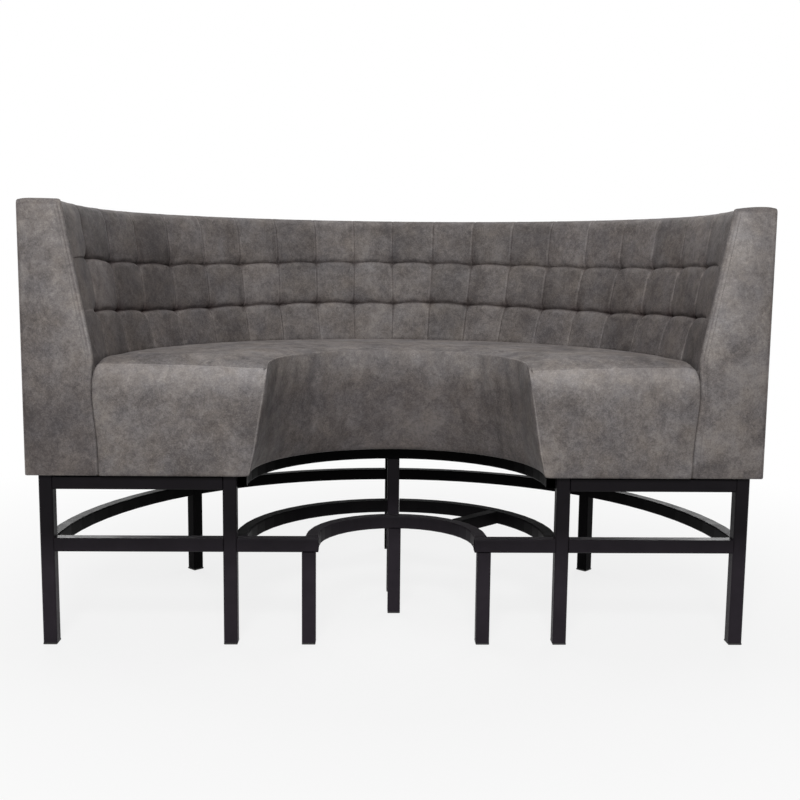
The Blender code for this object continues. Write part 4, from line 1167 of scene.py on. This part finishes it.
UNDER_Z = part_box("dust_cover")[0].z
CARCASS_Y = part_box("dust_cover")[0].y
UNDER_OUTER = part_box("dust_cover")[1].x
UNDER_INSET = 0.028  # of the cloth inside the inner bow
UNDER_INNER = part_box("bow_inner_top")[1].x - UNDER_INSET
CLOTH_THICKNESS = 0.0006
STAPLE = (0.011, 0.0006)  # length and radius
STAPLE_PITCH = 0.065
STAPLE_INSET = 0.010
CLOTH_STEPS = (96, 24)  # round the cloth and across it


def half_ring(radius, lead, centre_y, share):
    """Plan of points a share of the way round a half circle with straight ends, from the right."""
    length = 2 * lead + math.pi * radius
    return np.stack(back_point(radius, share * length, radius, lead, centre_y), axis=-1)


def dust_cover():
    """Thin black cloth under the base board, stapled round its edge."""
    steps, across = CLOTH_STEPS
    share = np.linspace(0.0, 1.0, steps + 1)
    outer_lead = CENTRE_Y - CARCASS_Y
    inner_lead = NOSE_Y - CARCASS_Y
    outer = half_ring(UNDER_OUTER, outer_lead, CENTRE_Y, share)
    inner = half_ring(UNDER_INNER, inner_lead, NOSE_Y, share)
    part = np.linspace(0.0, 1.0, across + 1)[None, :, None]
    plan = inner[:, None] + (outer - inner)[:, None] * part
    level = np.full((*plan.shape[:2], 1), UNDER_Z + CLOTH_THICKNESS / 2)
    points = np.concatenate((plan, level), axis=-1)
    obj = add_mesh("dust_cloth", points, grid_faces(steps + 1, across + 1), CAMBRIC)
    thicken(obj, CLOTH_THICKNESS, 0.0)
    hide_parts("dust_cover")
    edge = half_ring(UNDER_OUTER - STAPLE_INSET, outer_lead, CENTRE_Y, share)
    row = np.column_stack((edge, np.full(len(edge), UNDER_Z)))
    stitches("staples", obj, row, STEEL, STAPLE, STAPLE_PITCH)


# Camera, light and floor

IMAGE_PIXELS = 800
FOCAL_PIXELS = 1067.1
CAMERA_FROM_LEGS = Vector((-0.0766, -2.8800, 1.0608))
PITCH = 0.1272
YAW = 0.0282
ROLL = 0.0109
SENSOR = 36.0
WORLD_LIGHT = 0.11
FLOOR_HALF = 12.0
FLOOR_WHITE = 0.82
FLOOR_FADE_START = 1.0
FLOOR_FADE_END = 2.6
# Lamps: name, place, what it points at, size and power
LAMPS = (("key", (-0.35, -4.5, 3.6), (0.0, -0.3, 0.8), (1.8, 1.2), 198.0),
         ("overhead", (0.0, 0.35, 3.3), (0.0, 0.25, 0.8), (2.0, 1.4), 23.0),
         ("behind", (-2.4, 3.2, 1.25), (-0.5, 0.3, 0.8), (1.8, 1.4), 46.0),
         ("behind", (2.4, 3.2, 1.25), (0.5, 0.3, 0.8), (1.8, 1.4), 46.0))


def camera():
    """Camera at the photograph's place, looking down a little."""
    data = bpy.data.cameras.new("camera")
    data.sensor_width = SENSOR
    data.lens = FOCAL_PIXELS / IMAGE_PIXELS * SENSOR
    ahead = Vector((math.sin(YAW), math.cos(YAW), 0.0))
    forward = math.cos(PITCH) * ahead - math.sin(PITCH) * Vector((0.0, 0.0, 1.0))
    level = Vector((math.cos(YAW), -math.sin(YAW), 0.0))
    upright = level.cross(forward)
    right = math.cos(ROLL) * level + math.sin(ROLL) * upright
    up = math.cos(ROLL) * upright - math.sin(ROLL) * level
    place = CAMERA_FROM_LEGS + Vector((0.0, LEG_FRONT_Y, 0.0))
    matrix = Matrix.Identity(4)
    for i, column in enumerate((right, up, -forward, place)):
        for k in range(3):
            matrix[k][i] = column[k]
    obj = new_object("camera", data)
    obj.matrix_world = matrix
    bpy.context.scene.camera = obj


def softbox(name, place, target, size, power):
    data = bpy.data.lights.new(name, "AREA")
    data.shape = "RECTANGLE"
    data.size, data.size_y = size
    data.energy = power
    obj = new_object(name, data)
    obj.location = place
    obj.rotation_euler = (Vector(target) - Vector(place)).to_track_quat("-Z", "Y").to_euler()


def background_seen(tree):
    """1 for rays on which the white background shows: from the camera, or off gloss or through glass."""
    ray = tree.nodes.new("ShaderNodeLightPath")
    seen = maths(tree, "MAXIMUM", ray.outputs["Is Camera Ray"], ray.outputs["Is Transmission Ray"])
    return maths(tree, "MAXIMUM", seen, ray.outputs["Is Glossy Ray"])


def studio_world():
    """Even soft light all round, seen as white."""
    world = bpy.data.worlds.new("studio")
    bpy.context.scene.world = world
    world.use_nodes = True
    tree = world.node_tree
    background = tree.nodes["Background"]
    background.inputs["Color"].default_value = (1.0, 1.0, 1.0, 1.0)
    strength = span(tree, background_seen(tree), 0.0, 1.0, WORLD_LIGHT, 1.0)
    tree.links.new(strength, background.inputs["Strength"])


def pale_floor():
    """Floor that shows the sofa's shadow and fades into the white background further out."""
    material, tree, shader = new_material("pale_floor")
    shader.inputs["Base Color"].default_value = (0.60, 0.60, 0.60, 1.0)
    shader.inputs["Roughness"].default_value = 0.9
    white = add_node(tree, "ShaderNodeEmission", Strength=1.0)
    place = tree.nodes.new("ShaderNodeNewGeometry").outputs["Position"]
    distance = add_node(tree, "ShaderNodeVectorMath", operation="LENGTH")
    tree.links.new(place, distance.inputs[0])
    fade = span(tree, distance.outputs["Value"], FLOOR_FADE_START, FLOOR_FADE_END, FLOOR_WHITE, 1.0)
    mix = tree.nodes.new("ShaderNodeMixShader")
    tree.links.new(maths(tree, "MULTIPLY", fade, background_seen(tree)), mix.inputs["Fac"])
    tree.links.new(shader.outputs["BSDF"], mix.inputs[1])
    tree.links.new(white.outputs["Emission"], mix.inputs[2])
    tree.links.new(mix.outputs["Shader"], tree.nodes["Material Output"].inputs["Surface"])
    mesh = bpy.data.meshes.new("floor")
    corners = ((-1, -1), (1, -1), (1, 1), (-1, 1))
    mesh.from_pydata([(x * FLOOR_HALF, y * FLOOR_HALF, 0.0) for x, y in corners], [], [(0, 1, 2, 3)])
    mesh.materials.append(material)
    floor = new_object("floor", mesh)


def studio():
    """White surroundings and large soft lamps in front and above."""
    studio_world()
    pale_floor()
    for lamp in LAMPS:
        softbox(*lamp)
    bpy.context.scene.view_settings.view_transform = "Standard"


camera()
studio()
dress_frame()
back_pad()
seat()
end_panel("right", 1)
end_panel("left", -1)
outer_cover()
dust_cover()
